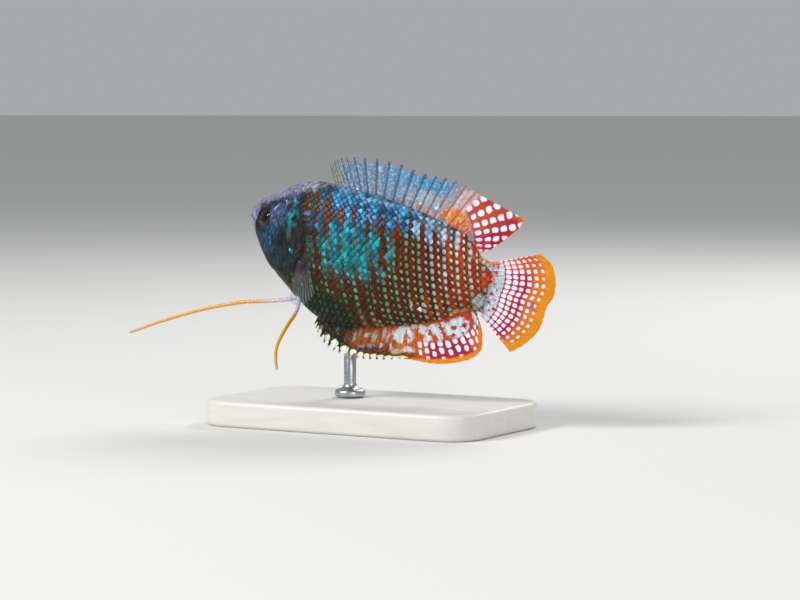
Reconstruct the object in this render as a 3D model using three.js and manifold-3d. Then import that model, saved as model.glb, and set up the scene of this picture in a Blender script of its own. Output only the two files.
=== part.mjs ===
// A male dwarf gourami as a still, life-size model on a small display stand.
// Millimetres, +Z up. The head points to -X and the fish's left side faces -Y.
// The fish is first laid out straight: X runs from the mouth back to the tail, Z rises from the line
// between the mouth and the middle of the tail's root, and -Y is its left. bendAndTilt gives the pose.

import * as THREE from "three";
import { mergeVertices } from "three/addons/utils/BufferGeometryUtils.js";
import Module from "manifold-3d";

const wasm = await Module();
wasm.setup();

// Driving dimensions of the body
const BODY_LENGTH = 54; // mouth to the root of the tail fin
const GAP = 0.3; // clearance between touching pieces
const SWIM_BEND = THREE.MathUtils.degToRad(24); // the tail's heading less the head's
const NOSE_UP = THREE.MathUtils.degToRad(14.22);
const SNOUT_TIP = 0.5;
const SNOUT_ROUND = 1.7; // length over which the snout rounds off
const SNOUT_HEIGHT = 0.8; // height of the snout's foremost point
const STALK_END = 54.6; // where the tail fin begins
const FLANK_SHAPE = 1.12; // 1 is an ellipse, more is a sharper back and belly
const BODY_SIDES = 32; // flats round the trunk's section
const HEAD_SIDES = 40;
const FIRST_RING = 0.06; // how far behind the snout's tip its first section is

// Rows of [distance behind the mouth, size], joined by smooth curves
const backHeight = through([
  [0.6, 2.4], [1.3, 3.0], [2.6, 3.95], [4.5, 5.1], [7.3, 6.85], [10, 8.8], [14.4, 10.4],
  [20, 10.9], [28, 11.2], [36, 11.0], [44, 9.9], [48, 9.0], [50, 7.7], [52, 5.7], [54.6, 5.0],
]);
const bellyHeight = through([
  [0.6, -1.5], [1.4, -2.4], [2.7, -3.9], [4.6, -5.9], [7.7, -8.8], [12.0, -11.1], [16.0, -13.1],
  [21, -15.2], [27, -15.5], [33, -13.9], [40, -11.5], [46, -8.9], [50, -6.4], [52, -5.3],
  [54.6, -4.9],
]);
const halfWidth = through([
  [0.6, 1.4], [2, 2.1], [3.5, 2.75], [6, 3.6], [10, 4.6], [15, 5.2], [20, 5.3], [28, 5.0],
  [36, 4.2], [44, 3.0], [50, 1.9], [53, 1.2], [54.6, 0.75],
]);
const widestHeight = through([[0.6, 0.3], [4, -0.6], [12, -1.8], [24, -1.5], [40, -0.5], [54.6, 0]]);

// The head: the hind edge of the gill cover as [height, distance behind the mouth]
const gillEdge = through([
  [-18, 11.5], [-13, 13.2], [-9.4, 15.2], [-6.6, 16.3], [-2.6, 17.6], [1.3, 17.1], [5.7, 15.1],
  [13, 13.6],
]);
const GILL_COVER = { flare: 0.4, over: 1.8, top: 6.5, bottom: -11 };
const CHEEK_GROOVE = { ahead: 5.6, width: 0.9, depth: 0.2 };
const EYE = { along: 6.0, height: 0.7, radius: 2.05, halfDepth: 1.25, bulge: 0.45, forward: 8 };
const NOSTRILS = [
  { along: 2.8, height: 2.3, radius: 0.32, depth: 0.5 },
  { along: 3.9, height: 3.1, radius: 0.26, depth: 0.45 },
];
const MOUTH = { front: [0.7, 1.2], corner: [2.7, -0.8], slit: 0.32, lip: 0.36 };

// The parting between trunk and tail stalk
const STALK_CUT = 47.6;

// Median fins. Each row is [ray, root along, tip along, tip height]
const DORSAL = {
  rays: 24,
  spines: 17,
  notch: through([[0, 0.3], [5, 0.16], [17, 0.08]]),
  steps: 5,
  rows: [
    [0, 19.9, 16.3, 14.3], [3, 22.4, 17.8, 15.6], [6, 25.6, 21.6, 17.0], [9, 30.2, 29.5, 18.3],
    [12, 35.8, 37.4, 17.8], [15, 40.6, 43.8, 18.2], [18, 45.0, 50.6, 16.4], [20, 47.6, 56.0, 15.2],
    [21, 48.7, 58.6, 14.2], [22, 49.7, 56.6, 10.8], [23, 50.6, 53.4, 7.2],
  ],
};
const ANAL = {
  rays: 30,
  spines: 17,
  notch: through([[0, 0.3], [8, 0.16], [17, 0.06]]),
  steps: 4,
  rows: [
    [0, 21.6, 20.7, -16.8], [2, 23.2, 21.7, -18.2], [5, 26.2, 24.8, -20.3], [9, 30.8, 30.2, -20.8],
    [13, 35.4, 35.8, -19.5], [17, 40.0, 42.0, -17.6], [21, 44.4, 48.4, -16.7],
    [24, 47.6, 53.8, -14.4], [26, 49.6, 55.9, -12.0], [28, 51.6, 55.6, -9.2], [29, 52.6, 54.8, -7.2],
  ],
};
const CAUDAL = {
  rays: 16,
  spines: 0,
  steps: 7,
  rootHalfHeight: 4.6,
  rows: [
    [0, 53.2, 63.0, 8.9], [2, 53.2, 65.4, 7.5], [4, 53.2, 66.9, 4.8], [6, 53.2, 67.2, 1.7],
    [7.5, 53.2, 66.4, -0.5], [9, 53.2, 66.3, -2.8], [11, 53.2, 65.7, -5.7], [13, 53.2, 64.0, -8.4],
    [15, 53.2, 61.6, -10.7],
  ],
};
const MEMBRANE = 0.27; // half thickness between the rays
const RAY = { root: 0.5, tip: 0.27, spineTip: 0.15 }; // half thickness on a ray
const ROOT_SUNK = 1.4; // how far a fin starts inside the body before it is trimmed

// Paired fins, on the left side; the right ones mirror them
const PECTORAL = {
  along: 18.5,
  height: -5.4,
  rootWidth: 2.2,
  length: 8.4,
  spread: 30,
  rays: 10,
  steps: 4,
  outward: 28,
  downward: 60,
  sunk: 0.8,
};
const FEELER_ROOT = { along: 16.9, height: -12.0, side: 1.5 };
const FEELER_THICKNESS = { root: 0.42, tip: 0.26, steps: 18, sides: 8 };

// The feelers' courses from their roots, in the posed fish
const LEFT_FEELER = [
  [0, 0, 0], [0.9, -2.6, -2.9], [1.9, -7.4, -5.3], [2.7, -11.4, -7.6], [3.5, -14.0, -9.4],
  [4.8, -16.2, -11.3], [6.2, -18.0, -12.8],
];
const RIGHT_FEELER = [
  [0, 0, 0], [-2.7, -0.35, -0.75], [-7, -1.1, -1.35], [-14, -2.4, -1.85], [-22, -3.9, -3.4],
  [-30, -5.5, -5.7], [-38, -7.1, -8.5],
];

// The stand
const AXIS_OVER_BASE = 29; // the bend's middle over the top of the base
const BASE = { length: 60, width: 34, thickness: 5, corner: 6, bevel: 0.8, middleX: 2, middleY: 1 };
const ROD = { radius: 1.2, along: 27, side: -2.9, footRadius: 3, footHeight: 1.4, fillet: 1.2 };

const COLORS = {
  head: 0x4a6a86, trunk: 0x2f8794, stalk: 0xb5642f, eye: 0x1a100c, dorsal: 0x7f93b0,
  anal: 0xc86a35, caudal: 0xd98430, pectoral: 0x9fb0b8, feeler: 0xd9a23c, stand: 0xdedbd3,
  rod: 0xb9bcc0,
};

// A smooth curve through rows of [position, value], level outside them.
function through(rows) {
  const last = rows.length - 1;
  const slope = (i) => {
    const before = rows[Math.max(i - 1, 0)];
    const after = rows[Math.min(i + 1, last)];
    return (after[1] - before[1]) / (after[0] - before[0]);
  };
  return (x) => {
    if (x <= rows[0][0]) return rows[0][1];
    if (x >= rows[last][0]) return rows[last][1];
    const i = rows.findIndex((row) => row[0] > x) - 1;
    const span = rows[i + 1][0] - rows[i][0];
    const t = (x - rows[i][0]) / span;
    const rise = t * t * (3 - 2 * t);
    const leave = span * t * (1 - t) * (1 - t) * slope(i);
    const arrive = span * t * t * (1 - t) * slope(i + 1);
    return rows[i][1] * (1 - rise) + rows[i + 1][1] * rise + leave - arrive;
  };
}

// A column of a fin's rows as a smooth curve over the ray number.
function column(rows, index) {
  return through(rows.map((row) => [row[0], row[index]]));
}

// Evenly spaced stations from start to end, about step apart.
function stations(start, end, step) {
  const count = Math.round((end - start) / step);
  return Array.from({ length: count + 1 }, (_, i) => start + ((end - start) * i) / count);
}

// A closed surface from points and triangles, turned so that its faces point out.
function closedSurface(points, triangles) {
  const geometry = new THREE.BufferGeometry();
  const places = points.flatMap((p) => [p.x, p.y, p.z]);
  geometry.setAttribute("position", new THREE.Float32BufferAttribute(places, 3));
  let volume = 0;
  for (const [a, b, c] of triangles) volume += points[a].dot(points[b].clone().cross(points[c]));
  geometry.setIndex(triangles.flatMap(([a, b, c]) => (volume > 0 ? [a, b, c] : [a, c, b])));
  return geometry;
}

// The solid enclosed by a closed surface.
function solid(geometry) {
  const bare = geometry.clone();
  bare.deleteAttribute("normal");
  bare.deleteAttribute("uv");
  const merged = mergeVertices(bare, 1e-4);
  return new wasm.Manifold(
    new wasm.Mesh({
      numProp: 3,
      vertProperties: new Float32Array(merged.attributes.position.array),
      triVerts: new Uint32Array(merged.index.array),
    }),
  );
}

// The surface of a solid's largest piece.
function largestSurface(shape) {
  const pieces = shape.decompose().sort((a, b) => b.volume() - a.volume());
  const mesh = pieces[0].getMesh();
  const geometry = new THREE.BufferGeometry();
  geometry.setAttribute("position", new THREE.BufferAttribute(new Float32Array(mesh.vertProperties), 3));
  geometry.setIndex(new THREE.BufferAttribute(new Uint32Array(mesh.triVerts), 1));
  return geometry;
}

// How much of its full section the snout has at this distance, as on a quarter circle.
function snoutFullness(along) {
  const t = THREE.MathUtils.clamp((along - SNOUT_TIP) / SNOUT_ROUND, 0, 1);
  return Math.sqrt(1 - (1 - t) * (1 - t));
}

// The height at which a section is widest.
function sectionMiddle(along) {
  return THREE.MathUtils.lerp(SNOUT_HEIGHT, widestHeight(along), snoutFullness(along));
}

// A point of the body's surface. turn goes once round the section, from the left flank over the back.
function bodyPoint(along, turn) {
  const full = snoutFullness(along);
  const middle = sectionMiddle(along);
  const reach = Math.sin(turn) > 0 ? backHeight(along) : bellyHeight(along);
  const side = Math.cos(turn);
  const out = halfWidth(along) * full * Math.sign(side) * Math.abs(side) ** FLANK_SHAPE;
  return new THREE.Vector3(along, -out, middle + (reach - middle) * full * Math.abs(Math.sin(turn)));
}

// The direction straight out of the body's surface.
function bodyNormal(along, turn) {
  const ahead = Math.max(along, SNOUT_TIP + 0.08);
  const lengthwise = bodyPoint(ahead + 0.05, turn).sub(bodyPoint(ahead - 0.05, turn));
  const around = bodyPoint(ahead, turn + 0.03).sub(bodyPoint(ahead, turn - 0.03));
  const normal = lengthwise.cross(around).normalize();
  const outside = bodyPoint(ahead, turn).sub(new THREE.Vector3(ahead, 0, sectionMiddle(ahead)));
  return normal.dot(outside) < 0 ? normal.negate() : normal;
}

// The turn at which the left flank has a height.
function turnAt(along, height) {
  const middle = sectionMiddle(along);
  const reach = height > middle ? backHeight(along) - middle : middle - bellyHeight(along);
  const share = (height - middle) / (reach * snoutFullness(along));
  return Math.asin(THREE.MathUtils.clamp(share, -1, 1));
}

// How far behind the mouth the snout's profile reaches a height.
function profileAt(height) {
  const turn = height > SNOUT_HEIGHT ? Math.PI / 2 : -Math.PI / 2;
  const rise = Math.abs(height - SNOUT_HEIGHT);
  let along = SNOUT_TIP + 0.02;
  while (Math.abs(bodyPoint(along, turn).z - SNOUT_HEIGHT) < rise) along += 0.02;
  return along;
}

// How far the head's own relief stands off the plain body: the cover's flared edge and the groove
// of the cheek bone ahead of it.
function headRelief(point) {
  const ahead = gillEdge(point.z) - point.x;
  const flare = THREE.MathUtils.clamp(1 - ahead / GILL_COVER.over, 0, 1);
  const belowTop = THREE.MathUtils.smoothstep(GILL_COVER.top - point.z, 0, 3);
  const aboveBottom = THREE.MathUtils.smoothstep(point.z - GILL_COVER.bottom, 0, 3);
  const groove = Math.exp(-(((ahead - CHEEK_GROOVE.ahead) / CHEEK_GROOVE.width) ** 2));
  return (GILL_COVER.flare * flare * flare - CHEEK_GROOVE.depth * groove) * belowTop * aboveBottom;
}

// A stretch of the body as a closed surface, grown outwards by a distance that may vary.
function bodyStretch(positions, sides, growth = () => 0) {
  const points = [];
  const triangles = [];
  for (const along of positions) {
    for (let k = 0; k < sides; k++) {
      const turn = (2 * Math.PI * k) / sides;
      const point = bodyPoint(along, turn);
      points.push(point.addScaledVector(bodyNormal(along, turn), growth(point)));
    }
  }
  for (let ring = 0; ring < positions.length - 1; ring++) {
    for (let k = 0; k < sides; k++) {
      const a = ring * sides + k;
      const b = ring * sides + ((k + 1) % sides);
      triangles.push([a, b, b + sides], [a, b + sides, a + sides]);
    }
  }
  for (const ring of [0, positions.length - 1]) {
    const first = ring * sides;
    const middle = points.slice(first, first + sides).reduce((sum, p) => sum.add(p), new THREE.Vector3());
    points.push(middle.divideScalar(sides));
    for (let k = 0; k < sides; k++) {
      const rim = [first + k, first + ((k + 1) % sides)];
      triangles.push([points.length - 1, ...(ring ? rim : rim.reverse())]);
    }
  }
  return closedSurface(points, triangles);
}

// The whole body grown by the clearance, which trims all that grows from it.
function grownBody() {
  const snout = stations(0, 1, 0.25).map((t) => SNOUT_TIP + FIRST_RING + SNOUT_ROUND * t * t);
  const rest = stations(SNOUT_TIP + SNOUT_ROUND + 1.2, STALK_END, 1.4);
  return solid(bodyStretch([...snout, ...rest, STALK_END + GAP], BODY_SIDES, () => GAP));
}

// A block across the body, from far ahead back to the gill cover's edge, or a shift behind it.
function headBlock(shift) {
  const edge = stations(-19, 14, 1.5).map((height) => new THREE.Vector2(gillEdge(height) + shift, height));
  const outline = [new THREE.Vector2(-6, 14), new THREE.Vector2(-6, -19), ...edge];
  const block = new THREE.ExtrudeGeometry(new THREE.Shape(outline), { depth: 24, bevelEnabled: false });
  return solid(block.rotateX(Math.PI / 2).translate(0, 12, 0));
}

// An ellipsoid, thin along the given direction.
function lens(center, direction, radius, halfDepth, segments) {
  const ball = new THREE.SphereGeometry(1, segments, Math.round(segments * 0.7));
  const facing = new THREE.Quaternion().setFromUnitVectors(new THREE.Vector3(0, 0, 1), direction);
  return ball.scale(radius, radius, halfDepth).applyQuaternion(facing).translate(...center);
}

function mirrored(vector) {
  return new THREE.Vector3(vector.x, -vector.y, vector.z);
}

// Where the left eye sits, and the way it looks.
function eyePlace() {
  const turn = turnAt(EYE.along, EYE.height);
  const looks = bodyNormal(EYE.along, turn);
  looks.applyAxisAngle(new THREE.Vector3(0, 0, 1), -THREE.MathUtils.degToRad(EYE.forward));
  const center = bodyPoint(EYE.along, turn).addScaledVector(looks, EYE.bulge - EYE.halfDepth);
  return { center, looks };
}

function eyeball(side, extra) {
  const place = eyePlace();
  const center = side > 0 ? place.center : mirrored(place.center);
  const looks = side > 0 ? place.looks : mirrored(place.looks);
  return lens(center, looks, EYE.radius + extra, EYE.halfDepth + extra, 16);
}

// A lip along the mouth's edge from corner to corner, above or below the slit. It follows the skin.
function lip(above) {
  const [frontX, frontZ] = MOUTH.front;
  const [cornerX, cornerZ] = MOUTH.corner;
  const slope = new THREE.Vector2(cornerX - frontX, cornerZ - frontZ).normalize();
  const offset = above * (MOUTH.slit / 2 + MOUTH.lip * 0.7);
  const front = profileAt(frontZ + slope.x * offset);
  const course = stations(-1, 1, 0.2).map((t) => {
    const back = Math.abs(t) ** 1.7;
    const x = THREE.MathUtils.lerp(front, cornerX - slope.y * offset, back);
    const z = THREE.MathUtils.lerp(frontZ, cornerZ, back) + slope.x * offset;
    return new THREE.Vector3(x, bodyPoint(x, turnAt(x, z)).y * -Math.sign(t), z);
  });
  return solid(cord(course, 14, 8, (s) => MOUTH.lip * (1 - 0.55 * Math.abs(2 * s - 1) ** 3)));
}

// A tapering cord along a smooth course, closed at both ends.
function cord(course, steps, sides, radiusAt) {
  const section = new THREE.Shape().absellipse(0, 0, 1, 1, 0, 2 * Math.PI);
  const curve = new THREE.CatmullRomCurve3(course);
  const bar = new THREE.ExtrudeGeometry(section, { steps, curveSegments: sides / 2, extrudePath: curve });
  const merged = mergeVertices(bar.deleteAttribute("normal").deleteAttribute("uv"), 1e-4);
  const position = merged.attributes.position;
  const stops = stations(0, 1, 1 / steps).map((t) => curve.getPointAt(t));
  for (let i = 0; i < position.count; i++) {
    const point = new THREE.Vector3().fromBufferAttribute(position, i);
    const distances = stops.map((stop) => stop.distanceTo(point));
    const nearest = distances.indexOf(Math.min(...distances));
    point.sub(stops[nearest]).multiplyScalar(radiusAt(nearest / steps)).add(stops[nearest]);
    position.setXYZ(i, point.x, point.y, point.z);
  }
  return merged;
}

// The slit of the mouth, across the snout.
function mouthSlit() {
  const start = new THREE.Vector2(...MOUTH.front);
  const end = new THREE.Vector2(...MOUTH.corner);
  const slope = end.clone().sub(start).normalize();
  const rise = new THREE.Vector2(-slope.y, slope.x).multiplyScalar(MOUTH.slit / 2);
  start.addScaledVector(slope, -2);
  const outline = [
    start.clone().add(rise), start.clone().sub(rise), end.clone().sub(rise),
    end.clone().addScaledVector(slope, MOUTH.slit / 2), end.clone().add(rise),
  ];
  const sheet = new THREE.ExtrudeGeometry(new THREE.Shape(outline), { depth: 8, bevelEnabled: false });
  return solid(sheet.rotateX(Math.PI / 2).translate(0, 4, 0));
}

function nostril(spec, side) {
  const turn = turnAt(spec.along, spec.height);
  const place = bodyPoint(spec.along, turn);
  const out = bodyNormal(spec.along, turn);
  const pit = lens(place, out, spec.radius, spec.depth, 8);
  return solid(side > 0 ? pit : lens(mirrored(place), mirrored(out), spec.radius, spec.depth, 8));
}

function makeHead() {
  const snout = stations(0, 1, 0.2).map((t) => SNOUT_TIP + FIRST_RING + SNOUT_ROUND * t * t);
  const cheek = stations(SNOUT_TIP + SNOUT_ROUND + 0.7, 9.5, 0.9);
  const cover = stations(10.1, 18.6, 0.6);
  const plain = bodyStretch([...snout, ...cheek, ...cover], HEAD_SIDES, headRelief);
  let head = solid(plain).intersect(headBlock(0)).add(lip(1)).add(lip(-1)).subtract(mouthSlit());
  for (const side of [1, -1]) {
    head = head.subtract(solid(eyeball(side, GAP)));
    for (const spec of NOSTRILS) head = head.subtract(nostril(spec, side));
  }
  return head;
}

function makeTrunk() {
  const plain = solid(bodyStretch(stations(10, STALK_CUT, 1.5), BODY_SIDES));
  return plain.subtract(headBlock(GAP));
}

function makeStalk() {
  return solid(bodyStretch(stations(STALK_CUT + GAP, STALK_END, 0.95), BODY_SIDES));
}

// A thin sheet as a grid of columns by steps. place gives the middle point, the way out of the sheet
// and the half thickness. Both faces are split into triangles alike.
function thinSheet(columns, steps, place) {
  const points = [];
  const triangles = [];
  for (const face of [1, -1]) {
    for (let i = 0; i <= columns; i++) {
      for (let j = 0; j <= steps; j++) {
        const { middle, out, half } = place(i, j / steps);
        points.push(middle.clone().addScaledVector(out, face * half));
      }
    }
  }
  const rows = steps + 1;
  const back = (columns + 1) * rows;
  for (let i = 0; i < columns; i++) {
    for (let j = 0; j < steps; j++) {
      const a = i * rows + j;
      const b = a + rows;
      triangles.push([a, b, b + 1], [a, b + 1, a + 1]);
      triangles.push([back + a, back + b + 1, back + b], [back + a, back + a + 1, back + b + 1]);
    }
  }
  const wall = (a, b) => triangles.push([b, a, back + a], [b, back + a, back + b]);
  for (let i = 0; i < columns; i++) {
    wall(i * rows, (i + 1) * rows);
    wall((i + 1) * rows + steps, i * rows + steps);
  }
  for (let j = 0; j < steps; j++) {
    wall(j + 1, j);
    wall(columns * rows + j, columns * rows + j + 1);
  }
  return closedSurface(points, triangles);
}

// Half thickness of a fin. Every third column is a ray, raised over the membrane on both faces.
function finHalf(spec, index, t) {
  if (index % 3) return MEMBRANE * (1 - 0.35 * t * t * t);
  const tip = index / 3 < spec.spines ? RAY.spineTip : RAY.tip;
  return THREE.MathUtils.lerp(RAY.root, tip, t * t * 0.6 + t * 0.4);
}

// A fin in the fish's middle plane, before its root is trimmed. rootHeight gives where a ray starts.
function medianFin(spec, rootHeight) {
  const rootAlong = column(spec.rows, 1);
  const tipAlong = column(spec.rows, 2);
  const tipHeight = column(spec.rows, 3);
  const sideways = new THREE.Vector3(0, 1, 0);
  return thinSheet((spec.rays - 1) * 3, spec.steps, (i, t) => {
    const ray = i / 3;
    const spiny = i % 3 && ray < spec.spines ? spec.notch(ray) : 0;
    const root = new THREE.Vector3(rootAlong(ray), 0, rootHeight(ray, rootAlong(ray)));
    const tip = new THREE.Vector3(tipAlong(ray), 0, tipHeight(ray));
    return { middle: root.lerp(tip, t * (1 - spiny)), out: sideways, half: finHalf(spec, i, t) };
  });
}

// The left pectoral fin as a rounded fan, before its root is trimmed.
function pectoralFin(side) {
  const turn = turnAt(PECTORAL.along, PECTORAL.height);
  const outward = THREE.MathUtils.degToRad(PECTORAL.outward);
  const downward = THREE.MathUtils.degToRad(PECTORAL.downward);
  const flank = bodyNormal(PECTORAL.along, turn);
  const along = new THREE.Vector3(Math.cos(downward), 0, -Math.sin(downward));
  along.addScaledVector(flank, -along.dot(flank)).normalize();
  const ray = along.clone().multiplyScalar(Math.cos(outward)).addScaledVector(flank, Math.sin(outward));
  const across = flank.clone().cross(along).normalize();
  const out = ray.clone().cross(across).normalize();
  const root = bodyPoint(PECTORAL.along, turn).addScaledVector(ray, -PECTORAL.sunk);
  const spec = { spines: 0 };
  const columns = (PECTORAL.rays - 1) * 3;
  return thinSheet(columns, PECTORAL.steps, (i, t) => {
    const q = i / columns - 0.5;
    const angle = THREE.MathUtils.degToRad(PECTORAL.spread) * q;
    const reach = (PECTORAL.length + PECTORAL.sunk) * (0.74 + 0.26 * Math.cos(2.6 * q)) * t;
    const middle = root.clone().addScaledVector(across, PECTORAL.rootWidth * q);
    middle.addScaledVector(ray, Math.cos(angle) * reach).addScaledVector(across, Math.sin(angle) * reach);
    const half = finHalf(spec, i, t) * (i % 3 ? 1 : 0.85);
    return side > 0 ? { middle, out, half } : { middle: mirrored(middle), out: mirrored(out), half };
  });
}

// The straight fish bent to one side, nose up.
function bendAndTilt(geometry) {
  const radius = BODY_LENGTH / SWIM_BEND;
  const position = geometry.attributes.position;
  for (let i = 0; i < position.count; i++) {
    const angle = (position.getX(i) - BODY_LENGTH / 2) / radius;
    const reach = radius - position.getY(i);
    position.setXYZ(i, reach * Math.sin(angle), radius - reach * Math.cos(angle), position.getZ(i));
  }
  return geometry.rotateY(NOSE_UP);
}

function posedPoint(point) {
  const geometry = new THREE.BufferGeometry().setFromPoints([point]);
  return new THREE.Vector3().fromBufferAttribute(bendAndTilt(geometry).attributes.position, 0);
}

// A feeler as a thin tapering cord from the belly, in the posed frame.
function feeler(course, side) {
  const { along, height } = FEELER_ROOT;
  const root = posedPoint(new THREE.Vector3(along, -side * FEELER_ROOT.side, height));
  const points = course.map((offset) => new THREE.Vector3(...offset).add(root));
  const { steps, sides } = FEELER_THICKNESS;
  const taper = (t) => THREE.MathUtils.lerp(FEELER_THICKNESS.root, FEELER_THICKNESS.tip, t);
  return solid(cord(points, steps, sides, taper));
}

// The base's top is at this height in the posed frame.
const BASE_TOP = -AXIS_OVER_BASE;

function makeBase() {
  const { length, width, thickness, corner, bevel } = BASE;
  const x = length / 2 - corner - bevel;
  const y = width / 2 - corner - bevel;
  const outline = new THREE.Shape();
  outline.absarc(x, y, corner, 0, Math.PI / 2).absarc(-x, y, corner, Math.PI / 2, Math.PI);
  outline.absarc(-x, -y, corner, Math.PI, 1.5 * Math.PI).absarc(x, -y, corner, 1.5 * Math.PI, 2 * Math.PI);
  const plate = new THREE.ExtrudeGeometry(outline, {
    depth: thickness - 2 * bevel,
    bevelThickness: bevel,
    bevelSize: bevel,
    bevelSegments: 2,
    curveSegments: 6,
  });
  return plate.translate(BASE.middleX, BASE.middleY, BASE_TOP - thickness + bevel);
}

// A rod with a rounded foot, up to the far side of the belly.
function makeRod(trimmer) {
  const under = posedPoint(new THREE.Vector3(ROD.along, -ROD.side, bellyHeight(ROD.along)));
  const foot = BASE_TOP + GAP;
  const top = under.z + 8;
  const profile = [
    new THREE.Vector2(0, foot),
    new THREE.Vector2(ROD.footRadius, foot),
    new THREE.Vector2(ROD.footRadius, foot + ROD.footHeight * 0.6),
    new THREE.Vector2(ROD.footRadius - 0.5, foot + ROD.footHeight),
    new THREE.Vector2(ROD.radius + 0.4, foot + ROD.footHeight),
    new THREE.Vector2(ROD.radius, foot + ROD.footHeight + ROD.fillet),
    new THREE.Vector2(ROD.radius, top),
    new THREE.Vector2(0, top),
  ];
  const rod = new THREE.LatheGeometry(profile, 20).rotateX(Math.PI / 2);
  return solid(rod.translate(under.x, under.y, 0)).subtract(trimmer);
}

const group = new THREE.Group();

function addPart(name, geometry, color, roughness = 0.45, metalness = 0) {
  const material = new THREE.MeshStandardMaterial({ color, roughness, metalness });
  const mesh = new THREE.Mesh(geometry, material);
  mesh.name = name;
  group.add(mesh);
}

const grown = grownBody();
const posedGrown = solid(bendAndTilt(largestSurface(grown)));

function addFleshPart(name, shape, color) {
  addPart(name, bendAndTilt(largestSurface(shape)), color);
}

addFleshPart("head", makeHead(), COLORS.head);
addFleshPart("trunk", makeTrunk(), COLORS.trunk);
addFleshPart("tail_stalk", makeStalk(), COLORS.stalk);

const topRoot = (ray, along) => backHeight(along) - ROOT_SUNK;
const bellyRoot = (ray, along) => bellyHeight(along) + ROOT_SUNK;
const tailRoot = (ray) => CAUDAL.rootHalfHeight * (1 - (2 * ray) / (CAUDAL.rays - 1));
addFleshPart("dorsal_fin", solid(medianFin(DORSAL, topRoot)).subtract(grown), COLORS.dorsal);
addFleshPart("anal_fin", solid(medianFin(ANAL, bellyRoot)).subtract(grown), COLORS.anal);
addFleshPart("caudal_fin", solid(medianFin(CAUDAL, tailRoot)).subtract(grown), COLORS.caudal);

for (const [name, side] of [["left", 1], ["right", -1]]) {
  addFleshPart(`eye_${name}`, solid(eyeball(side, 0)), COLORS.eye);
  addFleshPart(`pectoral_fin_${name}`, solid(pectoralFin(side)).subtract(grown), COLORS.pectoral);
  const thread = feeler(side > 0 ? LEFT_FEELER : RIGHT_FEELER, side).subtract(posedGrown);
  addPart(`pelvic_feeler_${name}`, largestSurface(thread), COLORS.feeler);
}

addPart("stand_base", makeBase(), COLORS.stand, 0.6);
addPart("stand_rod", largestSurface(makeRod(posedGrown)), COLORS.rod, 0.3, 1);

// The origin is under the middle of the whole, on the surface that the base stands on.
const box = new THREE.Box3().setFromObject(group);
const middle = box.getCenter(new THREE.Vector3());
group.position.set(-middle.x, -middle.y, -box.min.z);

export default group;
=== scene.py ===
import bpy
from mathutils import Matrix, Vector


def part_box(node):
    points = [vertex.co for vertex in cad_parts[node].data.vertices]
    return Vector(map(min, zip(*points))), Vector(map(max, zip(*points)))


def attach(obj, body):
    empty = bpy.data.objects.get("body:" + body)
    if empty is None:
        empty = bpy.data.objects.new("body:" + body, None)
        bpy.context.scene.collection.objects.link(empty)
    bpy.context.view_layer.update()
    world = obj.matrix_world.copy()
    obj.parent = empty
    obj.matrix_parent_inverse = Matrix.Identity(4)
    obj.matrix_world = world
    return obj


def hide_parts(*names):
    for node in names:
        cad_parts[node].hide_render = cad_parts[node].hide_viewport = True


bl_info = {
    "name": "Dwarf Gourami Model",
    "version": (1, 0, 0),
    "blender": (4, 5, 0),
    "location": "3D Viewport > Sidebar > Gourami",
    "description": "Builds a life-size male dwarf gourami on a display stand",
    "category": "Object",
}

import math

import bmesh
import bpy
import numpy as np
from mathutils import Matrix, Vector

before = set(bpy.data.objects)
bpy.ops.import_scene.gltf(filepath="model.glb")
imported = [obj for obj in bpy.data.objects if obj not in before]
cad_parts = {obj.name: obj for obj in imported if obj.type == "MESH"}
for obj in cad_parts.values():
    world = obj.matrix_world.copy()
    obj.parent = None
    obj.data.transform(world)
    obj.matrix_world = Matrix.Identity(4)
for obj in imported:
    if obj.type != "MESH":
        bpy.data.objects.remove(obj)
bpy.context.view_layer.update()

# Sizes below are in millimetres of the fish laid out straight: along runs from the mouth back to the
# tail, side is negative on the fish's left, and height rises from the line through the mouth.
MM = 0.001
BODY_LENGTH = 54.0
SWIM_BEND = math.radians(24)
BEND_RADIUS = BODY_LENGTH / SWIM_BEND
NOSE_UP = math.radians(14.22)
SNOUT_TIP = 0.5
SNOUT_ROUND = 1.7
SNOUT_HEIGHT = 0.8
STALK_END = 54.6
FLANK_SHAPE = 1.12
AXIS_OVER_BASE = 29.0
BASE_MIDDLE = (2.0, 1.0)

# The bent fish's middle over the stand's base
base_low, base_high = (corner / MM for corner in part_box("stand_base"))
POSE_SHIFT = np.array([
    (base_low.x + base_high.x) / 2 - BASE_MIDDLE[0],
    (base_low.y + base_high.y) / 2 - BASE_MIDDLE[1],
    base_high.z + AXIS_OVER_BASE,
])


def through(rows):
    """A smooth curve through rows of (position, value), level outside them."""
    at, value = np.array(rows, float).T
    last = len(at) - 1
    before = np.maximum(np.arange(last + 1) - 1, 0)
    after = np.minimum(np.arange(last + 1) + 1, last)
    slope = (value[after] - value[before]) / (at[after] - at[before])

    def curve(position):
        x = np.clip(position, at[0], at[-1])
        i = np.clip(np.searchsorted(at, x, side="right") - 1, 0, last - 1)
        span = at[i + 1] - at[i]
        t = (x - at[i]) / span
        rise = t * t * (3 - 2 * t)
        leave = span * t * (1 - t) ** 2 * slope[i]
        arrive = span * t * t * (1 - t) * slope[i + 1]
        return value[i] * (1 - rise) + value[i + 1] * rise + leave - arrive

    return curve


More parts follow.
